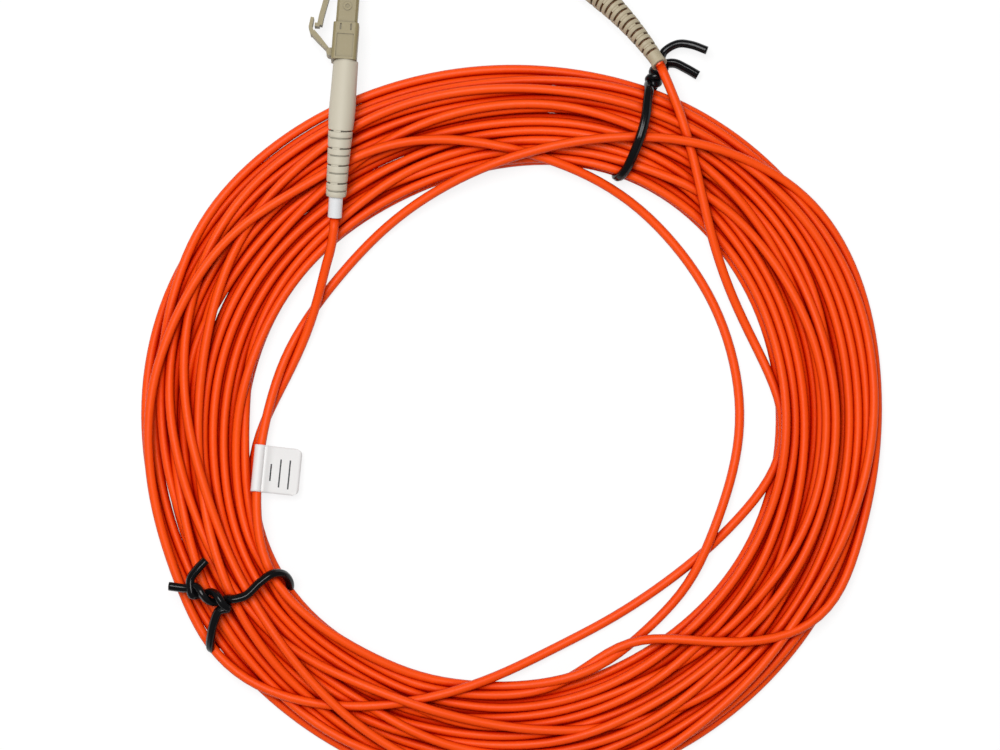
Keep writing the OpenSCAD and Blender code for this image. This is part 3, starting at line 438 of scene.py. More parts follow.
def lay_cord():
    """Centre line of the whole cord: a loose lie worked out from the listed route, the two
    layers of the coil, gravity and contact between neighbouring turns."""
    start = SC.at(SC.length)
    start_way = SC.beyond(1.0) - start
    end = LC.beyond(LC_SLEEVE_OUT)
    end_way = LC.beyond(LC_SLEEVE_OUT - 1.0) - end
    loose = through([start, start + 3 * start_way] + LOOSE_ROUTE)
    lead = through(LEAD_ROUTE + [end - 3 * end_way, end])

    # angles run clockwise from the SC boot: the free turns, the coil from "entry", the lead
    loose_a = clockwise_angle(loose)
    first_angle = -loose_a[0]
    loose_a = loose_a + first_angle
    lead_a = clockwise_angle(lead)
    entry = loose_a[-1]
    gap = (lead_a[0] + first_angle - entry) % 360
    run = gap + 360 * WOUND_TURNS
    lead_a = lead_a - lead_a[0] + entry + run

    count = int(math.ceil(lead_a[-1] * NODES_A_TURN / 360))
    step = lead_a[-1] / count
    angle = np.arange(count + 1) * step
    theta = first_angle - angle
    wound = (angle >= entry) & (angle <= entry + run)
    r = np.empty(count + 1)
    z = np.empty(count + 1)
    free = ((angle < entry, loose, loose_a), (angle > entry + run, lead, lead_a))
    for part, route, route_a in free:
        r[part] = np.interp(angle[part], route_a, np.hypot(route[:, 0], route[:, 1]))
        z[part] = np.interp(angle[part], route_a, route[:, 2])

    least_r, most_r = band_limits(theta)
    span = most_r - least_r
    turns = run / 360
    first = (math.hypot(*loose[-1, :2]) - least_r[wound][0]) / span[wound][0]
    last = (math.hypot(*lead[0, :2]) - least_r[wound][-1]) / span[wound][-1]
    share, z[wound] = wound_lie((angle[wound] - entry) / 360, turns, theta[wound], first, last)
    r[wound] = least_r[wound] + np.clip(share, *PLACE_LIMITS) * span[wound]

    # what holds each node: its ends are fixed, the lower layer lies firmer than the upper one
    wanted_r = r.copy()
    wanted_z = z.copy()
    pinned = np.zeros(count + 1, bool)
    pinned[:2] = True
    pinned[-3:] = True
    loose_part = ~wound & ~pinned
    moving = (~pinned).astype(float)
    below = wound & (angle > entry + 360 * (upper_turns(turns) + 0.5))
    hold = np.select([below, wound], HOLD[:2], HOLD[2])
    give = np.select([below, wound], GIVE[:2], GIVE[2]) * moving

    ground = np.full(count + 1, CORD_R)
    for tie_angle in TIE_ANGLES:
        near = hump(((theta - tie_angle + 180) % 360 - 180) / TIE_HALF_ANGLE)
        in_tie = (r > TIE_RADII[0]) & (r < TIE_RADII[1])
        ground = np.maximum(ground, CORD_R + TIE_LIFT * near * in_tie)
    least_r = np.where(wound, np.minimum(least_r, r), 0.0)
    most_r = np.where(wound, most_r + BAND_SLACK, UNBOUND)

    a, b = pairs_at_same_angle(count, step)
    cos_t, sin_t = np.cos(np.radians(theta)), np.sin(np.radians(theta))
    from_boot = np.abs((theta - LC_BOOT_ANGLE + 180) % 360 - 180)
    under_boot = np.nonzero((from_boot < LC_BOOT_HALF_ANGLE) & ~pinned)[0]
    for turn in range(SETTLE_PASSES):
        z -= FALL * moving
        even_out(r, wanted_r, EVENING * moving)
        even_out(z, 0.0, EVENING * moving)
        r += hold * (wanted_r - r) * moving
        z += ROUTE_PULL * (wanted_z - z) * loose_part
        slope = np.gradient(r, np.radians(angle)) / np.maximum(r, 1)
        for _ in range(2):
            push_apart(r, z, a, b, slope, give, moving)
            z = np.where(pinned, z, np.maximum(z, ground))
        r = np.where(pinned, r, np.clip(r, least_r, most_r))
        if turn % CEILING_EVERY == CEILING_EVERY - 1:
            k = under_boot
            ceiling = lc_ceiling(r[k] * cos_t[k], r[k] * sin_t[k])
            z[k] = np.minimum(z[k], np.maximum(ceiling, ground[k]))
    for _ in range(FINISHING_PASSES):
        even_out(r, 0.0, 0.5 * moving)
        even_out(z, 0.0, 0.5 * moving)
    return through(np.stack([r * cos_t, r * sin_t, z], 1), 0.5)


# ---------- meshes ----------


def collection():
    return bpy.context.scene.collection


def mesh_piece(name, verts, faces, material, smooth_angle=None):
    mesh = bpy.data.meshes.new(name)
    mesh.from_pydata([tuple(v) for v in verts], [], [tuple(f) for f in faces])
    mesh.validate()
    mesh.update()
    for polygon in mesh.polygons:
        polygon.use_smooth = True
    if smooth_angle is not None:
        mesh.set_sharp_from_angle(angle=math.radians(smooth_angle))
    mesh.materials.append(material)
    obj = bpy.data.objects.new(name, mesh)
    collection().objects.link(obj)
    return obj


def ring_grid(rings, around, first_cap=True, last_cap=True):
    """Faces of a closed tube of rings, outward for rings that turn left about their heading."""
    faces = []
    for i in range(rings - 1):
        for k in range(around):
            n = (k + 1) % around
            here, there = i * around, (i + 1) * around
            faces.append((here + k, here + n, there + n, there + k))
    if first_cap:
        faces.append(tuple(range(around - 1, -1, -1)))
    if last_cap:
        faces.append(tuple(range((rings - 1) * around, rings * around)))
    return faces


def closed_loop(rings, around):
    """Faces of a tube whose last ring meets its first one."""
    last = (rings - 1) * around
    faces = ring_grid(rings, around, False, False)
    faces += [(last + k, last + (k + 1) % around, (k + 1) % around, k) for k in range(around)]
    return faces


def swept(path, sides, section):
    """Rings of points: a section of (side, up) offsets carried along a path."""
    ways = headings(path)
    ups = np.cross(ways, sides)
    return np.stack([path + s * sides + u * ups for s, u in section], 1).reshape(-1, 3)


def add_length_uv(obj, around, step):
    """UV map: metres along the piece, and turns round it."""
    uv = obj.data.uv_layers.new(name="along")
    loops = np.empty(len(obj.data.loops), np.int32)
    obj.data.loops.foreach_get("vertex_index", loops)
    ring, spot = loops // around, (loops % around).astype(float)
    face = np.arange(len(loops)) // 4
    seam = (face % around == around - 1) & (spot == 0)
    spot[seam] = around
    values = np.stack([ring * step, spot / around], 1)
    uv.data.foreach_set("uv", values.astype(np.float32).ravel())


# ---------- materials ----------

WHITE = (1, 1, 1, 1)
RELIEF_DEPTH = 0.0001
GAP_SAMPLES = 6
JACKET_ROUGH = (0.36, 0.46)
JACKET_LINES = (60.0, 5.0, 1.0)
PAPER_SHADE = (0.72, 0.70, 0.68)
INK = (0.05, 0.05, 0.055)

# Ruled lines on the label: place across the flag, start and end along it (shares of its size)
RULED_LINES = [(0.30, 0.26, 0.62), (0.52, 0.14, 0.74), (0.74, 0.12, 0.74)]
RULE_HALF = 0.018


def opaque(colour):
    return (*colour, 1)


def darker(colour, share):
    return tuple(share * c for c in colour)


def feed(tree, value, port):
    """Link a node's output to a port, or set the port to a plain value."""
    if isinstance(value, bpy.types.NodeSocket):
        tree.links.new(value, port)
    else:
        port.default_value = value


def filled(tree, kind, values):
    """New node of a kind with its named ports filled."""
    node = tree.nodes.new(kind)
    for name, value in values.items():
        feed(tree, value, node.inputs[name])
    return node


def worked_out(tree, operation, *values):
    """Result of a calculation with two or three values."""
    node = tree.nodes.new("ShaderNodeMath")
    node.operation = operation
    for value, port in zip(values, node.inputs):
        feed(tree, value, port)
    return node.outputs["Value"]


def stretched(tree, value, low, high, to_low=0.0, to_high=1.0, smooth=False):
    """A value mapped from one range to another and kept inside it."""
    node = filled(tree, "ShaderNodeMapRange", {
        "Value": value, "From Min": low, "From Max": high, "To Min": to_low, "To Max": to_high,
    })
    if smooth:
        node.interpolation_type = "SMOOTHSTEP"
    return node.outputs["Result"]


def mixed(tree, share, colour, other):
    """A colour with a share of another one mixed in."""
    node = tree.nodes.new("ShaderNodeMix")
    node.data_type = "RGBA"
    for name, value in (("Factor", share), ("A", colour), ("B", other)):
        feed(tree, value, node.inputs[name])
    return node.outputs["Result"]


def noise(tree, place, scale, detail):
    values = {"Vector": place, "Scale": scale, "Detail": detail}
    return filled(tree, "ShaderNodeTexNoise", values).outputs["Fac"]


def uv_place(tree, uv_map):
    node = tree.nodes.new("ShaderNodeUVMap")
    node.uv_map = uv_map
    return node.outputs["UV"]


def attribute(tree, name):
    node = tree.nodes.new("ShaderNodeAttribute")
    node.attribute_name = name
    return node.outputs["Fac"]


def shader_ports(tree):
    return tree.nodes["Principled BSDF"].inputs


def bare_material(name):
    """New material, its node tree and the ports of its shader."""
    material = bpy.data.materials.new(name)
    material.use_nodes = True
    return material, material.node_tree, shader_ports(material.node_tree)


def relief(tree, height, strength, depth=RELIEF_DEPTH):
    """Let a height between 0 and 1 stand out from a finish."""
    values = {"Strength": strength, "Distance": depth, "Height": height}
    bump = filled(tree, "ShaderNodeBump", values)
    feed(tree, bump.outputs["Normal"], shader_ports(tree)["Normal"])


def tint(tree, share, colour):
    """Mix a share of a colour into what a finish shows so far."""
    base = shader_ports(tree)["Base Color"]
    feed(tree, mixed(tree, share, base.links[0].from_socket, opaque(colour)), base)


def grain_group():
    """Moulded surface: slow shade changes and a fine grain."""
    found = bpy.data.node_groups.get("moulded grain")
    if found:
        return found
    group = bpy.data.node_groups.new("moulded grain", "ShaderNodeTree")
    ports = group.interface
    for name in ("Colour", "Shade"):
        ports.new_socket(name, in_out="INPUT", socket_type="NodeSocketColor")
    for name, value in (
        ("Patches per metre", 90.0), ("Grain per metre", 4000.0), ("Shade amount", 0.3),
        ("Roughness low", 0.4), ("Roughness high", 0.6),
    ):
        socket = ports.new_socket(name, in_out="INPUT", socket_type="NodeSocketFloat")
        socket.default_value = value
    ports.new_socket("Colour", in_out="OUTPUT", socket_type="NodeSocketColor")
    ports.new_socket("Roughness", in_out="OUTPUT", socket_type="NodeSocketFloat")
    ports.new_socket("Height", in_out="OUTPUT", socket_type="NodeSocketFloat")
    given = group.nodes.new("NodeGroupInput").outputs
    place = group.nodes.new("ShaderNodeTexCoord").outputs["Object"]
    patches = noise(group, place, given["Patches per metre"], 4.0)
    grain = noise(group, place, given["Grain per metre"], 2.0)
    spread = stretched(group, patches, 0.35, 0.7)
    share = worked_out(group, "MULTIPLY", spread, given["Shade amount"])
    filled(group, "NodeGroupOutput", {
        "Colour": mixed(group, share, given["Colour"], given["Shade"]),
        "Roughness": stretched(
            group, grain, 0.3, 0.7, given["Roughness low"], given["Roughness high"]),
        "Height": grain,
    })
    return group


def grain_surface(tree, colour, shade, rough, patches, grain, amount):
    """Lay the moulded grain on a finish: its colours, its range of roughness, how many patches
    and grains it has in a metre, and how far its colour drifts. The result is its height."""
    surface = tree.nodes.new("ShaderNodeGroup")
    surface.node_tree = grain_group()
    for name, value in (
        ("Colour", opaque(colour)), ("Shade", opaque(shade)), ("Patches per metre", patches),
        ("Grain per metre", grain), ("Shade amount", amount), ("Roughness low", rough[0]),
        ("Roughness high", rough[1]),
    ):
        surface.inputs[name].default_value = value
    shader = shader_ports(tree)
    feed(tree, surface.outputs["Colour"], shader["Base Color"])
    feed(tree, surface.outputs["Roughness"], shader["Roughness"])
    return surface.outputs["Height"]


def paint_gap_shade(tree, painted_shade, reach, share):
    """Paint shade into a finish where other surfaces stand within reach of it, by ambient
    occlusion. The result is how closed in each spot is."""
    open_sky = filled(tree, "ShaderNodeAmbientOcclusion", {"Distance": reach})
    open_sky.samples = GAP_SAMPLES
    closed = stretched(tree, open_sky.outputs["AO"], 0.95, 0.3, 0.0, share)
    tint(tree, closed, painted_shade)
    return closed


def grained(name, colour, shade, rough, bump=0.1, patches=90.0, grain=4000.0, amount=0.35,
            metallic=0.0):
    """A moulded or metal finish: its colour and shade drift over the surface."""
    material, tree, shader = bare_material(name)
    relief(tree, grain_surface(tree, colour, shade, rough, patches, grain, amount), bump)
    shader["Metallic"].default_value = metallic
    return material


def jacket_material(colour, shade, painted_shade):
    """Extruded jacket: faint lines along the cord, soft gloss, and painted shade low on its sides
    and in the gaps between turns.
    """
    material, tree, shader = bare_material("orange_jacket")
    grain = grain_surface(tree, colour, shade, JACKET_ROUGH, 45.0, 2500.0, 0.5)
    place = {"Vector": uv_place(tree, "along"), "Scale": JACKET_LINES}
    lines = noise(tree, filled(tree, "ShaderNodeMapping", place).outputs["Vector"], 1.0, 3.0)
    relief(tree, worked_out(tree, "MULTIPLY_ADD", lines, 2.0, grain), 0.12)
    # painted shade: the colour goes darker down each turn's sides, from near its top
    tint(tree, stretched(tree, attribute(tree, "rise"), 0.85, -0.2, 0.0, 0.8, smooth=True), painted_shade)
    shader["IOR"].default_value = 1.3
    # painted shade in the gaps between turns; the specular level falls there, taking out their
    # reflections
    closed = paint_gap_shade(tree, painted_shade, 0.002, 0.95)
    feed(tree, stretched(tree, closed, 0.0, 0.5, 0.45, 0.0), shader["Specular IOR Level"])
    return material


def boot_material(name, colour, shade, slot_shade_colour):
    """Soft boot rubber with painted shade inside its slots and bore and where other surfaces stand
    close.
    """
    material = grained(name, colour, shade, (0.5, 0.65), bump=0.12, patches=120, amount=0.4)
    tree = material.node_tree
    # painted shade in the slots and the bore, by their depth
    tint(tree, attribute(tree, "slot"), slot_shade_colour)
    # painted shade where other surfaces stand close
    paint_gap_shade(tree, slot_shade_colour, 0.0006, 0.8)
    return material


def between(tree, value, low, high):
    """1 where a value lies between two limits, 0 elsewhere."""
    above = worked_out(tree, "GREATER_THAN", value, low)
    return worked_out(tree, "MULTIPLY", above, worked_out(tree, "LESS_THAN", value, high))


def label_material(colour):
    """Paper label with a few plain ruled lines."""
    material, tree, shader = bare_material("label_paper")
    place = uv_place(tree, "sheet")
    x, y, _ = filled(tree, "ShaderNodeSeparateXYZ", {"Vector": place}).outputs
    ink = None
    for at, low, high in RULED_LINES:
        across = between(tree, x, at - RULE_HALF, at + RULE_HALF)
        line = worked_out(tree, "MULTIPLY", across, between(tree, y, low, high))
        ink = line if ink is None else worked_out(tree, "MAXIMUM", ink, line)
    fibre = noise(tree, place, 60.0, 5.0)
    drift = worked_out(tree, "MULTIPLY", fibre, 0.35)
    paper = mixed(tree, drift, opaque(colour), opaque(PAPER_SHADE))
    feed(tree, mixed(tree, ink, paper, opaque(INK)), shader["Base Color"])
    shader["Roughness"].default_value = 0.55
    relief(tree, fibre, 0.08, RELIEF_DEPTH / 2)
    return material


# ---------- settings ----------


class PatchCordJacket(bpy.types.PropertyGroup):
    diameter: FloatProperty(name="Diameter", description="Outer diameter of the jacket",
                            default=2 * CORD_R * MM, min=0.001, max=0.004, unit="LENGTH")
    sides: IntProperty(name="Sides", description="Sides of the cord's mesh", default=12, min=8,
                       max=32)
    spacing: FloatProperty(name="Ring spacing", description="Distance between rings of the mesh",
                           default=2.6 * MM, min=0.001, max=0.004, unit="LENGTH")
    colour: FloatVectorProperty(name="Colour", description="Jacket colour", subtype="COLOR",
                                default=(1.0, 0.088, 0.003), min=0, max=1)
    shade: FloatVectorProperty(name="Shade", description="Colour that the jacket drifts to",
                               subtype="COLOR", default=(0.93, 0.066, 0.002), min=0, max=1)
    # painted shade: the colour painted low on the jacket's sides and in the gaps between turns
    painted_shade: FloatVectorProperty(name="Deep", description="Colour low on the jacket's sides",
                              subtype="COLOR", default=(0.47, 0.002, 0.0001), min=0, max=1)


class PatchCordTies(bpy.types.PropertyGroup):
    width: FloatProperty(name="Width", description="Width of a twist tie", default=2.0 * MM,
                         min=0.001, max=0.003, unit="LENGTH")
    thickness: FloatProperty(name="Thickness", description="Thickness of a twist tie",
                             default=1.75 * MM, min=0.0006, max=0.002, unit="LENGTH")
    colour: FloatVectorProperty(name="Colour", description="Colour of the ties", subtype="COLOR",
                                default=(0.003, 0.003, 0.0035), min=0, max=1)


class PatchCordLabel(bpy.types.PropertyGroup):
    length: FloatProperty(name="Length", description="Length of the flag along the cord",
                          default=10 * MM, min=0.006, max=0.012, unit="LENGTH")
    reach: FloatProperty(name="Reach", description="Reach of the flag from the cord's centre",
                         default=9.1 * MM, min=0.006, max=0.012, unit="LENGTH")
    colour: FloatVectorProperty(name="Colour", description="Paper colour", subtype="COLOR",
                                default=(0.86, 0.85, 0.84), min=0, max=1)


class PatchCordPlugs(bpy.types.PropertyGroup):
    lc_body: FloatVectorProperty(name="LC body", description="Colour of the LC plug's plastic",
                                 subtype="COLOR", default=(0.298, 0.245, 0.124), min=0, max=1)
    lc_boot: FloatVectorProperty(name="LC boot", description="Colour of the LC boot",
                                 subtype="COLOR", default=(0.60, 0.55, 0.435), min=0, max=1)
    sc_boot: FloatVectorProperty(name="SC boot", description="Colour of the SC boot",
                                 subtype="COLOR", default=(0.475, 0.405, 0.275), min=0, max=1)
    # painted shade: the SC boot's colour deep in its slots and bore and where surfaces stand close
    slot: FloatVectorProperty(name="Slots", description="Colour inside the boots' slots",
                              subtype="COLOR", default=(0.13, 0.05, 0.012), min=0, max=1)


class PatchCordStage(bpy.types.PropertyGroup):
    floor: FloatVectorProperty(name="Floor", description="Colour of the floor", subtype="COLOR",
                               default=(0.93, 0.93, 0.93), min=0, max=1)
    sky: FloatProperty(name="Sky", description="Strength of the even light", default=0.2,
                       min=0, max=2, subtype="FACTOR")
    lamp: FloatProperty(name="Lamp", description="Power of the overhead lamp", default=14.0,
                        min=0, max=50, unit="POWER")


# ---------- pieces ----------


# What the camera shows: its middle and its width, in millimetres
SHOWN_MIDDLE = (-1.92, 12.15, 0.0)
SHOWN_WIDTH = 213.2


class PATCHCORD_OT_camera(bpy.types.Operator):
    """Put the camera straight above the coil"""

    bl_idname = "patchcord.make_camera"
    bl_label = "Camera"

    def execute(self, context):
        view = bpy.data.cameras.new("camera_above")
        view.sensor_width = 36.0
        view.lens = 150.0
        view.clip_start = 0.05
        view.clip_end = 20.0
        obj = bpy.data.objects.new("camera_above", view)
        collection().objects.link(obj)
        height = SHOWN_WIDTH * MM * view.lens / view.sensor_width
        x, y, _ = in_frame(SHOWN_MIDDLE)
        obj.location = (x, y, height)
        context.scene.camera = obj
        return {"FINISHED"}


class PATCHCORD_OT_cord(bpy.types.Operator):
    """Lay the whole cord from the SC boot to the LC plug's sleeve"""

    bl_idname = "patchcord.make_cord"
    bl_label = "Cord"

    def execute(self, context):
        props = context.scene.patch_cord_jacket
        line = evenly(lay_cord(), props.spacing / MM)
        path = in_frame(line)
        around = props.sides
        ways = headings(path)
        sides = level_side(ways)
        radius = props.diameter / 2
        section = [
            (radius * math.cos(TAU * k / around), radius * math.sin(TAU * k / around))
            for k in range(around)
        ]
        verts = swept(path, sides, section)
        cord = mesh_piece("cord", verts, ring_grid(len(path), around),
                          jacket_material(props.colour, props.shade, props.painted_shade))
        add_length_uv(cord, around, props.spacing)
        # height round each turn, which the jacket reads to paint shade low on its sides
        rise = cord.data.attributes.new("rise", "FLOAT", "POINT")
        heights = np.tile([n / radius for _, n in section], len(path))
        rise.data.foreach_set("value", heights.astype(np.float32))
        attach(cord, ROOT)
        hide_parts("cord_coil", "cord_loose_turns", "cord_lead_lc")
        LAID["line"] = line
        LAID["cord"] = cord
        LAID["path"] = path
        return {"FINISHED"}


# Points along each strand of a knot, slack between its two strands, and the step and the number
# of softenings of a tie's path
KNOT_STEPS = 12
KNOT_SLACK = 0.12
TIE_STEP = 0.35
TIE_SOFTENING = 12

# Routes of the ties, in millimetres round the coil's middle: two strands twisted
# together between the knot's ends, the strap over the turns, and its way back under them
UPPER_TIE = {
    "knot": ((30.3, 73.8, 2.3), (32.4, 78.4, 2.2)),
    "turns": 1.5,
    "phases": (60, 240),
    "over": [
        (29.6, 72.4, 6.6), (29.3, 70.4, 7.6), (28.8, 66.6, 9.0), (27.8, 62.8, 9.3),
        (26.2, 58.6, 8.4), (24.9, 55.9, 7.0),
    ],
    "under": [
        (23.6, 54.3, 5.0), (22.9, 54.2, 3.0), (22.9, 54.9, 1.3), (23.7, 57.2, 0.9),
        (26.2, 63.6, 0.9), (28.6, 70.0, 0.9), (29.8, 72.6, 0.95),
    ],
    "back": [],
    "tail_a": [(35.1, 78.5, 1.6), (37.6, 77.4, 1.7), (40.2, 75.9, 1.8)],
    "tail_b": [(33.0, 80.9, 2.6), (35.9, 82.5, 3.2), (38.8, 82.2, 3.8), (42.0, 81.0, 4.2)],
}
LOWER_TIE = {
    "knot": ((-58.8, -36.1, 9.0), (-66.6, -33.4, 8.6)),
    "turns": 1.0,
    "phases": (180, 0),
    "over": [
        (-55.6, -34.4, 9.0), (-52.7, -31.7, 9.0), (-49.9, -29.8, 8.6),
    ],
    "under": [
        (-47.9, -29.9, 7.0), (-46.8, -31.1, 5.0), (-46.6, -32.6, 3.0), (-47.1, -33.8, 1.3),
        (-48.6, -34.8, 0.9), (-54.0, -38.7, 0.9), (-59.6, -43.0, 0.9), (-62.0, -45.2, 1.1),
        (-63.1, -46.0, 2.8), (-63.4, -45.4, 4.8),
    ],
    "back": [(-63.1, -43.2, 6.6), (-62.4, -40.2, 8.2), (-61.2, -37.6, 8.8)],
    "tail_a": [(-67.9, -32.9, 8.0), (-71.9, -32.5, 7.6)],
    "tail_b": [(-67.3, -31.0, 8.4), (-65.8, -28.8, 8.6), (-64.0, -26.9, 8.6)],
}


def knot_strand(start, end, phase, radius, turns):
    """One of the two strands of a knot, twisted about the line between its ends."""
    a, b = np.array(start), np.array(end)
    way = (b - a) / np.linalg.norm(b - a)
    side = level_side(way)
    rise = np.cross(way, side)
    out = []
    for i in range(KNOT_STEPS + 1):
        w = math.radians(phase + 360 * turns * i / KNOT_STEPS)
        ring = radius * (math.cos(w) * side + math.sin(w) * rise)
        out.append(tuple(a + (b - a) * i / KNOT_STEPS + ring))
    return out


# Section of a tie: how flat its oval is (1 for an ellipse), and its grooves' depth, place and
# width as shares of its own thickness and half width
TIE_FLATNESS = 0.8
GROOVE_DEPTH = 0.07
GROOVE_AT = 0.5
GROOVE_WIDTH = 0.16


def tie_section(width, thickness, count=24):
    """Flat oval with a shallow groove on each side of the wire, which runs in its middle."""
    points = []
    for k in range(count):
        w = TAU * k / count
        c, n = math.cos(w), math.sin(w)
        flat = 0.5 * thickness * math.copysign(abs(n) ** TIE_FLATNESS, n)
        from_groove = (abs(c) - GROOVE_AT) / GROOVE_WIDTH
        groove = GROOVE_DEPTH * thickness * math.exp(-(from_groove**2))
        points.append((0.5 * width * c, flat - math.copysign(groove, n) * (abs(n) > 0.05)))
    return points


def height_over(spots, line, reach):
    """Height at which a strap just clears the cord at each spot (0 where no cord is near)."""
    need = np.zeros(len(spots))
    for i, spot in enumerate(spots):
        d2 = (line[:, 0] - spot[0]) ** 2 + (line[:, 1] - spot[1]) ** 2
        near = d2 < reach * reach
        if near.any():
            need[i] = np.max(line[near, 2] + np.sqrt(reach * reach - d2[near]))
    return need


def tie_path(plan, thickness, line):
    """Centre line of a tie, raised where it lies over the cord."""
    knot_r = thickness / 2 / MM + KNOT_SLACK
    first = knot_strand(*plan["knot"], plan["phases"][0], knot_r, plan["turns"])
    second = knot_strand(*plan["knot"], plan["phases"][1], knot_r, plan["turns"])
    before = list(reversed(plan["tail_a"])) + list(reversed(first))
    points = before + plan["over"] + plan["under"] + plan["back"] + second + plan["tail_b"]
    path = through(points, TIE_STEP)
    # share of each sample that may be raised: the strap's two stretches on top
    mark = [0.0] * len(before) + [1.0] * len(plan["over"]) + [0.0] * len(plan["under"])
    mark += [1.0] * len(plan["back"]) + [0.0] * (len(second) + len(plan["tail_b"]))
    at = [int(np.argmin(np.linalg.norm(path - np.array(q), axis=1))) for q in points]
    raised = np.interp(np.arange(len(path)), at, mark)
    need = height_over(path, line, CORD_R + 0.5 * thickness / MM) * (raised > 0.4)
    for _ in range(TIE_SOFTENING):
        path[:, 2] = np.maximum(path[:, 2], need)
        soft = path[:, 2].copy()
        soft[1:-1] = 0.25 * path[:-2, 2] + 0.5 * path[1:-1, 2] + 0.25 * path[2:, 2]
        path[:, 2] = np.where(raised > 0.05, soft, path[:, 2])
    return evenly(path, TIE_STEP)


class PATCHCORD_OT_ties(bpy.types.Operator):
    """Make the two twist ties round the coil"""

    bl_idname = "patchcord.make_ties"
    bl_label = "Twist ties"

    def execute(self, context):
        props = context.scene.patch_cord_ties
        black = grained("tie_black", props.colour, (0.005, 0.005, 0.006), (0.14, 0.24), bump=0.08,
                        patches=200)
        shader_ports(black.node_tree)["Specular IOR Level"].default_value = 0.25
        section = tie_section(props.width, props.thickness)
        plans = (
            ("twist_tie_upper", "tie_upper", UPPER_TIE, TIE_ANGLES[0]),
            ("twist_tie_lower", "tie_lower", LOWER_TIE, TIE_ANGLES[1]),
        )
        for name, node, plan, angle in plans:
            path = in_frame(tie_path(plan, props.thickness, LAID["line"]))
            ways = headings(path)
            lowest = int(np.argmin(path[:, 2]))
            along = spin_z((0.0, 1.0, 0.0), angle)
            back = carried_sides(ways[: lowest + 1][::-1], along)[::-1]
            on = carried_sides(ways[lowest:], along)
            sides = np.vstack([back[:-1], on])
            verts = swept(path, sides, section)
            tie = mesh_piece(name, verts, ring_grid(len(path), len(section)), black)
            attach(tie, ROOT)
            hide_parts(node)
        return {"FINISHED"}


# The label, in millimetres: slack round the cord, space between its two faces, droop of the flag
# in degrees, curl of its free edge, how far out from the cord the faces still gape and by what
# share of the wrap, radius of its corners, thickness of the paper, and how far outside its inner
# face the wrap runs
LABEL_SLACK = 0.06
LABEL_SPACE = 0.11
LABEL_DROOP = 13
LABEL_CURL = 0.25
LABEL_GAPE_REACH = 1.6
LABEL_GAPE = 0.45
LABEL_CORNER = 1.3
LABEL_PAPER = 0.1
WRAP_OUT = 0.05
FLAG_STEPS = 14
WRAP_STEPS = 18
ALONG_STEPS = 24


def flag_face(x, wrap, reach, way_up):
    """Height of the flag's upper (1) or lower (-1) face at a distance from the cord."""
    lift = LABEL_CURL * ((x - wrap) / (reach - wrap)) ** 2
    closed = soft_step(min(1.0, max(0.0, (x - wrap) / LABEL_GAPE_REACH)))
    return lift + way_up * (0.5 * LABEL_SPACE + (1 - closed) * (wrap * LABEL_GAPE))


def label_section(wrap, reach):
    """The folded strip: along one face of the flag, round the cord and back along the other."""
    flag = [reach - (reach - wrap) * i / FLAG_STEPS for i in range(FLAG_STEPS + 1)]
    section = [(x, flag_face(x, wrap, reach, 1)) for x in flag]
    start = math.asin(min(0.95, section[-1][1] / (wrap + 0.2)))
    for k in range(WRAP_STEPS + 1):
        a = start + (TAU - 2 * start) * k / WRAP_STEPS
        section.append(((wrap + WRAP_OUT) * math.cos(a), (wrap + WRAP_OUT) * math.sin(a)))
    return section + [(x, flag_face(x, wrap, reach, -1)) for x in reversed(flag)]


class PATCHCORD_OT_label(bpy.types.Operator):
    """Fold the flag label round the cord"""

    bl_idname = "patchcord.make_label"
    bl_label = "Label"

    def execute(self, context):
        props = context.scene.patch_cord_label
        line = LAID["line"]
        middle = (LABEL_FROM + LABEL_TO) / 2
        spot = int(np.argmin(np.linalg.norm(line - middle, axis=1)))
        apart = int(0.35 * props.length / context.scene.patch_cord_jacket.spacing)
        way = line[spot + apart] - line[spot - apart]
        way = way / np.linalg.norm(way)
        centre = line[spot] + way * np.dot(middle - line[spot], way)
        side = level_side(way)
        up = np.cross(way, side)
        droop = math.radians(LABEL_DROOP)
        reach = props.reach / MM
        half = props.length / MM / 2
        section = label_section(CORD_R + LABEL_SLACK, reach)
        verts, uvs = [], []
        for j in range(ALONG_STEPS + 1):
            share = j / ALONG_STEPS
            y = (share - 0.5) * 2 * half
            inset = max(0.0, abs(y) - (half - LABEL_CORNER))
            round_off = math.sqrt(max(LABEL_CORNER * LABEL_CORNER - inset * inset, 0.0))
            limit = reach - LABEL_CORNER + round_off
            for x, h in section:
                x = min(x, limit)
                out = -x * math.cos(droop) - h * math.sin(droop)
                high = -x * math.sin(droop) + h * math.cos(droop)
                verts.append(centre + way * y + side * out + up * high)
                uvs.append((x / reach, share))
        n = len(section)
        faces = [
            (j * n + k, (j + 1) * n + k, (j + 1) * n + k + 1, j * n + k + 1)
            for j in range(ALONG_STEPS) for k in range(n - 1)
        ]
        paper = label_material(props.colour)
        label = mesh_piece("flag_label", in_frame(verts), faces, paper)
        uv = label.data.uv_layers.new(name="sheet")
        for loop in label.data.loops:
            uv.data[loop.index].uv = uvs[loop.vertex_index]
        skin = label.modifiers.new("thickness", "SOLIDIFY")
        skin.thickness = LABEL_PAPER * MM
        skin.offset = 0.0
        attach(label, ROOT)
        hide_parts("label_flag")
        LAID["label"] = label
        return {"FINISHED"}


# Boots, in millimetres: width of the lip beside a slot and how far it dips, steps between rings
# of the skin and of the bore, the bore's painted shade, and the depths at which a slot's painted
# shade is whole and at which it is darkest
SLOT_LIP = 0.12
LIP_DIP = 0.06
STATION_STEP = 0.6
BORE_STEP = 1.5
BORE_SHADE = 0.5
SHADED_FROM = 0.2
FULL_SHADE = 0.5


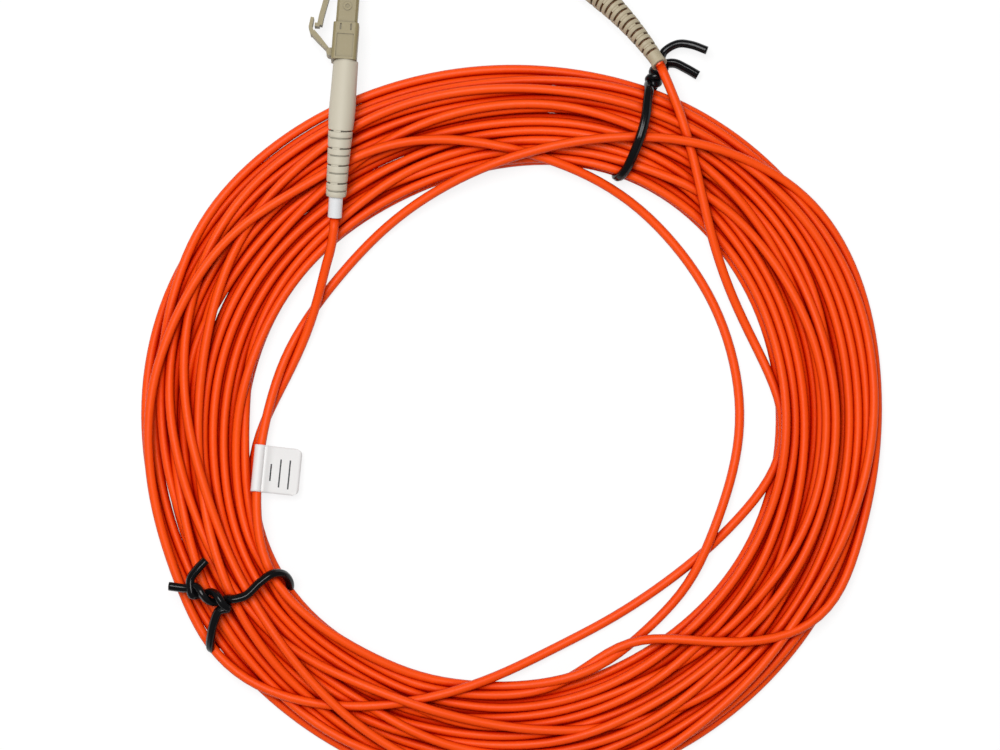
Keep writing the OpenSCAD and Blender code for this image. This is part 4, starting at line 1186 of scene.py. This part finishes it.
def boot_stations(profile, slots, half):
    """Stations along a boot: reach, radius and the sort of slot cut there (if any)."""
    first, last = profile[0][0], profile[-1][0]
    marks = {reach for reach, _ in profile}
    for at, _ in slots:
        for d in (half + SLOT_LIP, half + 0.3 * SLOT_LIP, half, half - 0.03):
            marks |= {round(at - d, 4), round(at + d, 4)}
    for k in range(int((last - first) / STATION_STEP) + 1):
        marks.add(round(first + STATION_STEP * k, 4))
    out = []
    for s in sorted(m for m in marks if first <= m <= last):
        base = float(np.interp(s, *zip(*profile)))
        sort = None
        for at, kind in slots:
            d = abs(s - at)
            if d <= half - 0.02:
                sort = kind
            elif d < half + SLOT_LIP:
                base -= LIP_DIP * (1 - (d - half) / SLOT_LIP)
        out.append((s, base, sort))
    return out


def slot_ring(plan, base, sort, around):
    """Radii and painted shade round one station of a boot, where a slot may be cut."""
    radii, shade = [base] * around, [0.0] * around
    if sort is None:
        return radii, shade
    depth = plan["slot_depth"][sort]
    for k in range(around):
        w = TAU * k / around - math.radians(plan["turn"][sort])
        across = abs(math.sin(w)) if sort == "top" else abs(math.cos(w))
        floor = max(base - depth, plan["bridge"][sort] / max(across, 1e-6))
        if floor < base:
            radii[k] = floor
            shade[k] = min(1.0, (base - floor) / SHADED_FROM) * depth / FULL_SHADE
    return radii, shade


def boot_mesh(name, plug, plan, material, around=80):
    """Shell of a strain-relief boot: slotted skin outside, plain bore inside."""
    # depth: the painted shade at each point, darker deep in the slots and in the bore
    verts, depth = [], []

    def ring(s, radii, shade):
        lean = float(np.interp(s, *zip(*plan["lean"])))
        for k in range(around):
            w = TAU * k / around
            up = radii[k] * math.sin(w)
            verts.append(plug.at(max(0.0, s - lean * up), radii[k] * math.cos(w), up))
        depth.extend(shade)

    for s, base, sort in boot_stations(plan["profile"], plan["slots"], plan["slot_half"]):
        ring(s, *slot_ring(plan, base, sort, around))
    for s, bore in reversed(plan["bore"]):
        ring(s, [bore] * around, [BORE_SHADE] * around)
    faces = [tuple(reversed(f)) for f in closed_loop(len(verts) // around, around)]
    boot = mesh_piece(name, in_frame(verts), faces, material, smooth_angle=35)
    # the slot attribute carries this painted shade to the boot's finish
    slot = boot.data.attributes.new("slot", "FLOAT", "POINT")
    slot.data.foreach_set("value", np.array(depth, np.float32))
    return boot


def bore_plan(length, wide, wide_r, narrow_r):
    """Bore of a boot: wide at the front, narrow behind, and close enough set to follow its
    bend."""
    points = [(0.0, wide_r), (wide, wide_r), (wide + 0.01, narrow_r)]
    k = wide + BORE_STEP
    while k < length - 0.2:
        points.append((k, narrow_r))
        k += BORE_STEP
    points.append((length, narrow_r))
    return points


# For each boot: reach and radius of its skin, its slots (reach and sort) with their half width,
# depth, bridge left at the middle and turn in degrees, its lean, and its bore
LC_BOOT = {
    "profile": [
        (0.0, 2.55), (0.15, 2.64), (2.0, 2.67), (6.0, 2.72), (9.5, 2.8), (11.0, 2.8), (12.8, 2.74),
        (14.6, 2.62), (18.0, 2.48), (22.0, 2.34), (26.6, 2.2), (27.0, 2.2), (28.5, 2.18),
        (LC.length, 2.06),
    ],
    "slots": [(14.9, "side"), (16.45, "top"), (18.6, "side"), (20.1, "top"),
              (22.15, "side"), (23.8, "top"), (25.9, "side"), (27.55, "top")],
    "slot_half": 0.16,
    "slot_depth": {"top": 0.25, "side": 0.5},
    "bridge": {"top": 0.8, "side": 0.85},
    "turn": {"top": 12.0, "side": -15.0},
    "lean": [(0.0, 0.0), (8.0, 0.0), (14.0, -0.32), (LC.length, -0.08)],
    "bore": bore_plan(LC.length, 8.0, 1.94, 1.54),
}
SC_BOOT = {
    "profile": [
        (0.0, 3.05), (0.2, 3.2), (5.0, 2.95), (10.0, 2.65), (15.0, 2.3), (20.0, 1.98), (24.5, 1.7),
        (26.0, 1.58), (26.8, 1.56), (27.4, 1.66), (27.9, 1.78), (SC.length, 1.72),
    ],
    "slots": [(8.5 + 1.28 * i, "side" if i % 2 == 0 else "top") for i in range(14)],
    "slot_half": 0.24,
    "slot_depth": {"top": 0.55, "side": 0.55},
    "bridge": {"top": 0.75, "side": 1.0},
    "turn": {"top": 0.0, "side": 0.0},
    "lean": [(0.0, 0.0), (1.0, 0.0), (6.0, 0.34), (SC.length, 0.34)],
    "bore": bore_plan(SC.length, 7.0, 2.24, 1.06),
}

# The white sleeve: where it starts inside the boot, its rounded mouth and its bore
SLEEVE_FROM = 12.0
SLEEVE_MOUTH_R = 1.42
SLEEVE_MOUTH_OUT = 0.07
SLEEVE_BORE_R = 1.05


def sleeve_mesh(name, material, around=40):
    """White sleeve that the LC boot's cord leaves by: a plain tube along the boot's last
    stretch."""
    hidden = [LC.at(s) for s in np.arange(SLEEVE_FROM, LC.length, 1.2)]
    line = np.array(hidden + [LC.beyond(d) for d in (0.0, 2.3, LC_SLEEVE_OUT)])
    ways = headings(line)
    sides = level_side(ways)
    mouth = line[-1:] + SLEEVE_MOUTH_OUT * ways[-1:]
    circle = [(math.cos(TAU * k / around), math.sin(TAU * k / around)) for k in range(around)]
    skins = []
    for radius, path, head, side in (
        (SLEEVE_R, line, ways, sides),
        (SLEEVE_MOUTH_R, mouth, ways[-1:], sides[-1:]),
        (SLEEVE_BORE_R, line[::-1], ways[::-1], sides[::-1]),
    ):
        ups = np.cross(head, side)
        rings = [path + radius * (c * side + n * ups) for c, n in circle]
        skins.append(np.stack(rings, 1).reshape(-1, 3))
    verts = np.vstack(skins)
    faces = closed_loop(len(verts) // around, around)
    return mesh_piece(name, in_frame(verts), faces, material, smooth_angle=40)


def dress(nodes, material, bevel=None):
    """Give CAD nodes a finish and, where wanted, softened edges."""
    for name in nodes:
        obj = frame["nodes"][name]
        if obj.material_slots:
            for slot in obj.material_slots:
                slot.material = material
        else:
            obj.data.materials.append(material)
        if bevel:
            soft = obj.modifiers.new("soft_edges", "BEVEL")
            soft.width = bevel
            soft.segments = 2
            soft.limit_method = "ANGLE"
            soft.angle_limit = math.radians(40)
            soft.harden_normals = True


class PATCHCORD_OT_lc_plug(bpy.types.Operator):
    """Dress the LC plug and make its boot"""

    bl_idname = "patchcord.make_lc_plug"
    bl_label = "LC plug"

    def execute(self, context):
        props = context.scene.patch_cord_plugs
        khaki = grained("lc_khaki", props.lc_body, darker(props.lc_body, 0.9), (0.38, 0.52),
                        patches=150)
        # painted shade in the plug's recesses and between its parts
        paint_gap_shade(khaki.node_tree, darker(props.lc_body, 0.25), 0.0007, 0.9)
        dress(("lc_housing", "lc_latch", "lc_rear_body", "lc_trigger"), khaki, 0.12 * MM)
        # the boot's last colour is the painted shade in its slots, bore and recesses
        ivory = boot_material("lc_boot_ivory", props.lc_boot, darker(props.lc_boot, 0.92),
                              darker(props.lc_boot, 0.35))
        boot = boot_mesh("lc_strain_boot", LC, LC_BOOT, ivory)
        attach(boot, ROOT)
        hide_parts("lc_boot")
        white = grained("sleeve_white", (0.80, 0.81, 0.82), (0.74, 0.75, 0.77), (0.22, 0.34),
                        patches=300)
        sleeve = sleeve_mesh("lc_white_sleeve", white)
        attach(sleeve, ROOT)
        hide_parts("lc_strain_sleeve")
        return {"FINISHED"}


class PATCHCORD_OT_sc_plug(bpy.types.Operator):
    """Dress the SC plug and make its boot"""

    bl_idname = "patchcord.make_sc_plug"
    bl_label = "SC plug"

    def execute(self, context):
        props = context.scene.patch_cord_plugs
        shade = darker(props.sc_boot, 0.9)
        # props.slot is the painted shade in the boot's slots, bore and recesses
        beige = boot_material("sc_boot_beige", props.sc_boot, shade, props.slot)
        boot = boot_mesh("sc_strain_boot", SC, SC_BOOT, beige)
        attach(boot, ROOT)
        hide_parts("sc_boot")
        LAID["sc_boot"] = boot
        grip = grained("sc_grip_beige", (0.50, 0.45, 0.35), (0.46, 0.41, 0.31), (0.4, 0.55),
                       patches=120)
        dress(("sc_grip",), grip, 0.2 * MM)
        inner = grained("sc_frame_beige", (0.55, 0.52, 0.44), (0.5, 0.47, 0.4), (0.35, 0.5))
        dress(("sc_plug_frame",), inner, 0.15 * MM)
        return {"FINISHED"}


def pressed_spring(name, node, slide, material):
    """Copy of a plug's spring with a finish of its own, in place of the CAD spring. Its seat
    along the ferrule's slide is found but not used.
    """
    solid = frame["nodes"][node]
    spring = bpy.data.objects.new(name, solid.data.copy())
    spring.data.materials.clear()
    spring.data.materials.append(material)
    collection().objects.link(spring)
    joint = next(j for j in frame["joints"] if j["name"] == slide)
    wire = np.array([tuple(v.co) for v in spring.data.vertices])
    reach = wire @ np.array(joint["axis"])
    seat = wire[reach.argmax()]
    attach(spring, ROOT)
    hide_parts(node)
    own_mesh(spring)
    return spring


class PATCHCORD_OT_springs(bpy.types.Operator):
    """Make the springs behind the two ferrules"""

    bl_idname = "patchcord.make_springs"
    bl_label = "Springs"

    def execute(self, context):
        steel = grained("spring_steel_bright", (0.5, 0.5, 0.5), (0.4, 0.4, 0.41), (0.25, 0.4),
                        metallic=1.0)
        pressed_spring("lc_coil_spring", "lc_spring", "lc_ferrule_slide", steel)
        LAID["sc_spring"] = pressed_spring(
            "sc_coil_spring", "sc_spring", "sc_ferrule_slide", steel)
        return {"FINISHED"}


# Finishes of the inner pieces: pieces, name, colour, shade, range of roughness and the rest
CORE_FINISHES = [
    (("lc_ferrule", "sc_ferrule"), "ceramic_white",
     (0.86, 0.86, 0.83), (0.82, 0.82, 0.8), (0.12, 0.2), {"bump": 0.02}),
    (("lc_ferrule_flange", "sc_ferrule_flange"), "nickel",
     (0.66, 0.64, 0.6), (0.55, 0.53, 0.5), (0.22, 0.38), {"metallic": 1.0}),
    (("lc_backbone", "sc_stop_ring"), "dark_metal",
     (0.12, 0.12, 0.125), (0.08, 0.08, 0.085), (0.35, 0.5), {"metallic": 0.6}),
    (("lc_crimp_sleeve", "sc_crimp_sleeve"), "crimp_brass",
     (0.62, 0.46, 0.2), (0.5, 0.36, 0.15), (0.25, 0.4), {"metallic": 1.0}),
    (("lc_yarn", "sc_yarn"), "aramid_yarn",
     (0.78, 0.58, 0.14), (0.6, 0.42, 0.08), (0.7, 0.9), {"bump": 0.6, "grain": 9000}),
    (("lc_guide_tube", "sc_guide_tube"), "guide_tube",
     (0.75, 0.78, 0.78), (0.68, 0.71, 0.72), (0.2, 0.3), {}),
    (("lc_fibre", "sc_fibre"), "buffered_fibre",
     (0.84, 0.8, 0.7), (0.78, 0.74, 0.64), (0.3, 0.45), {}),
]


class PATCHCORD_OT_cores(bpy.types.Operator):
    bl_idname = "patchcord.make_cores"
    bl_label = "Inner pieces"

    def execute(self, context):
        jacket = context.scene.patch_cord_jacket
        for nodes, name, colour, shade, rough, rest in CORE_FINISHES:
            dress(nodes, grained(name, colour, shade, rough, **rest))
        dress(("lc_jacket_end", "sc_jacket_end"),
              grained("jacket_end_orange", jacket.colour, jacket.shade, JACKET_ROUGH))
        tuple(in_frame(LC.beyond(LC_SLEEVE_OUT)))
        return {"FINISHED"}


# The stage, in metres: the floor's half size and height, how brightly and how much the camera
# sees it glow, and the lamp's size, place and aim
FLOOR_HALF = 1.5
FLOOR_Z = -0.00002
FLOOR_GLOW = 1.04
FLOOR_GLOW_SHARE = 0.8
LAMP_SIZE = 0.7
LAMP_AT = (-0.2, 0.25, 1.2)
LAMP_AIM = (0, -0.02, 0)


def blended(tree, share, one, other, end):
    """Send a blend of two shaders to the surface at the end of a tree."""
    node = tree.nodes.new("ShaderNodeMixShader")
    for value, port in zip((share, one, other), node.inputs):
        feed(tree, value, port)
    feed(tree, node.outputs["Shader"], tree.nodes[end].inputs["Surface"])


def floor_material(colour):
    """Pale floor that the camera sees nearly white, and that lights the pieces by its colour."""
    material, tree, shader = bare_material("pale_floor")
    shader["Base Color"].default_value = opaque(colour)
    shader["Roughness"].default_value = 0.9
    shader["Specular IOR Level"].default_value = 0.1
    seen = tree.nodes.new("ShaderNodeLightPath").outputs
    either = worked_out(tree, "MAXIMUM", seen["Is Camera Ray"], seen["Is Glossy Ray"])
    white = filled(tree, "ShaderNodeEmission", {"Color": WHITE, "Strength": FLOOR_GLOW})
    blended(tree, worked_out(tree, "MULTIPLY", either, FLOOR_GLOW_SHARE),
            tree.nodes["Principled BSDF"].outputs["BSDF"], white.outputs["Emission"],
            "Material Output")
    return material


def even_light(strength):
    """Even light from all round, with a white backdrop for the camera."""
    world = bpy.data.worlds.new("even_light")
    world.use_nodes = True
    tree = world.node_tree
    sky = tree.nodes["Background"]
    sky.inputs["Color"].default_value = WHITE
    sky.inputs["Strength"].default_value = strength
    backdrop = filled(tree, "ShaderNodeBackground", {"Color": WHITE, "Strength": 1.0})
    seen = tree.nodes.new("ShaderNodeLightPath").outputs
    blended(tree, seen["Is Camera Ray"], sky.outputs["Background"],
            backdrop.outputs["Background"], "World Output")
    return world


class PATCHCORD_OT_stage(bpy.types.Operator):
    """Make the pale floor, the lamp and the even light"""

    bl_idname = "patchcord.make_stage"
    bl_label = "Stage"

    def execute(self, context):
        props = context.scene.patch_cord_stage
        corners = ((-1, -1), (1, -1), (1, 1), (-1, 1))
        verts = [(FLOOR_HALF * x, FLOOR_HALF * y, FLOOR_Z) for x, y in corners]
        floor = mesh_piece("pale_floor", verts, [(0, 1, 2, 3)], floor_material(props.floor))
        context.scene.world = even_light(props.sky)
        lamp = bpy.data.lights.new("overhead_softbox", "AREA")
        lamp.shape = "SQUARE"
        lamp.size = LAMP_SIZE
        lamp.energy = props.lamp
        lamp_obj = bpy.data.objects.new("overhead_softbox", lamp)
        lamp_obj.location = LAMP_AT
        collection().objects.link(lamp_obj)
        aim = Vector(LAMP_AIM) - lamp_obj.location
        lamp_obj.rotation_euler = aim.to_track_quat("-Z", "Y").to_euler()
        context.scene.view_settings.view_transform = "Standard"
        return {"FINISHED"}


class PATCHCORD_PT_panel(bpy.types.Panel):
    """Lists the pieces of the patch cord"""

    bl_label = "Patch cord"
    bl_idname = "PATCHCORD_PT_panel"
    bl_space_type = "VIEW_3D"
    bl_region_type = "UI"
    bl_category = "Patch cord"

    def draw(self, context):
        layout = self.layout
        for settings, steps in PANEL_ROWS:
            box = layout.box()
            if settings:
                group = getattr(context.scene, settings)
                for key in group.bl_rna.properties.keys():
                    if key not in ("rna_type", "name"):
                        box.prop(group, key)
            for step in steps:
                box.operator(step)


PANEL_ROWS = [
    (None, ("patchcord.make_camera",)),
    ("patch_cord_jacket", ("patchcord.make_cord",)),
    ("patch_cord_ties", ("patchcord.make_ties",)),
    ("patch_cord_label", ("patchcord.make_label",)),
    (None, ("patchcord.make_springs",)),
    (
        "patch_cord_plugs",
        ("patchcord.make_lc_plug", "patchcord.make_sc_plug", "patchcord.make_cores"),
    ),
    ("patch_cord_stage", ("patchcord.make_stage",)),
]
SETTINGS = {
    "patch_cord_jacket": PatchCordJacket,
    "patch_cord_ties": PatchCordTies,
    "patch_cord_label": PatchCordLabel,
    "patch_cord_plugs": PatchCordPlugs,
    "patch_cord_stage": PatchCordStage,
}
CLASSES = (
    *SETTINGS.values(),
    PATCHCORD_OT_camera,
    PATCHCORD_OT_cord,
    PATCHCORD_OT_ties,
    PATCHCORD_OT_label,
    PATCHCORD_OT_lc_plug,
    PATCHCORD_OT_sc_plug,
    PATCHCORD_OT_springs,
    PATCHCORD_OT_cores,
    PATCHCORD_OT_stage,
    PATCHCORD_PT_panel,
)


def register():
    for cls in CLASSES:
        bpy.utils.register_class(cls)
    for name, cls in SETTINGS.items():
        setattr(bpy.types.Scene, name, PointerProperty(type=cls))


def unregister():
    for name in SETTINGS:
        delattr(bpy.types.Scene, name)
    for cls in reversed(CLASSES):
        bpy.utils.unregister_class(cls)


def main():
    register()
    bpy.ops.patchcord.make_camera()
    bpy.ops.patchcord.make_cord()
    bpy.ops.patchcord.make_ties()
    bpy.ops.patchcord.make_label()
    bpy.ops.patchcord.make_lc_plug()
    bpy.ops.patchcord.make_sc_plug()
    bpy.ops.patchcord.make_springs()
    bpy.ops.patchcord.make_cores()
    bpy.ops.patchcord.make_stage()


if __name__ == "__main__":
    main()
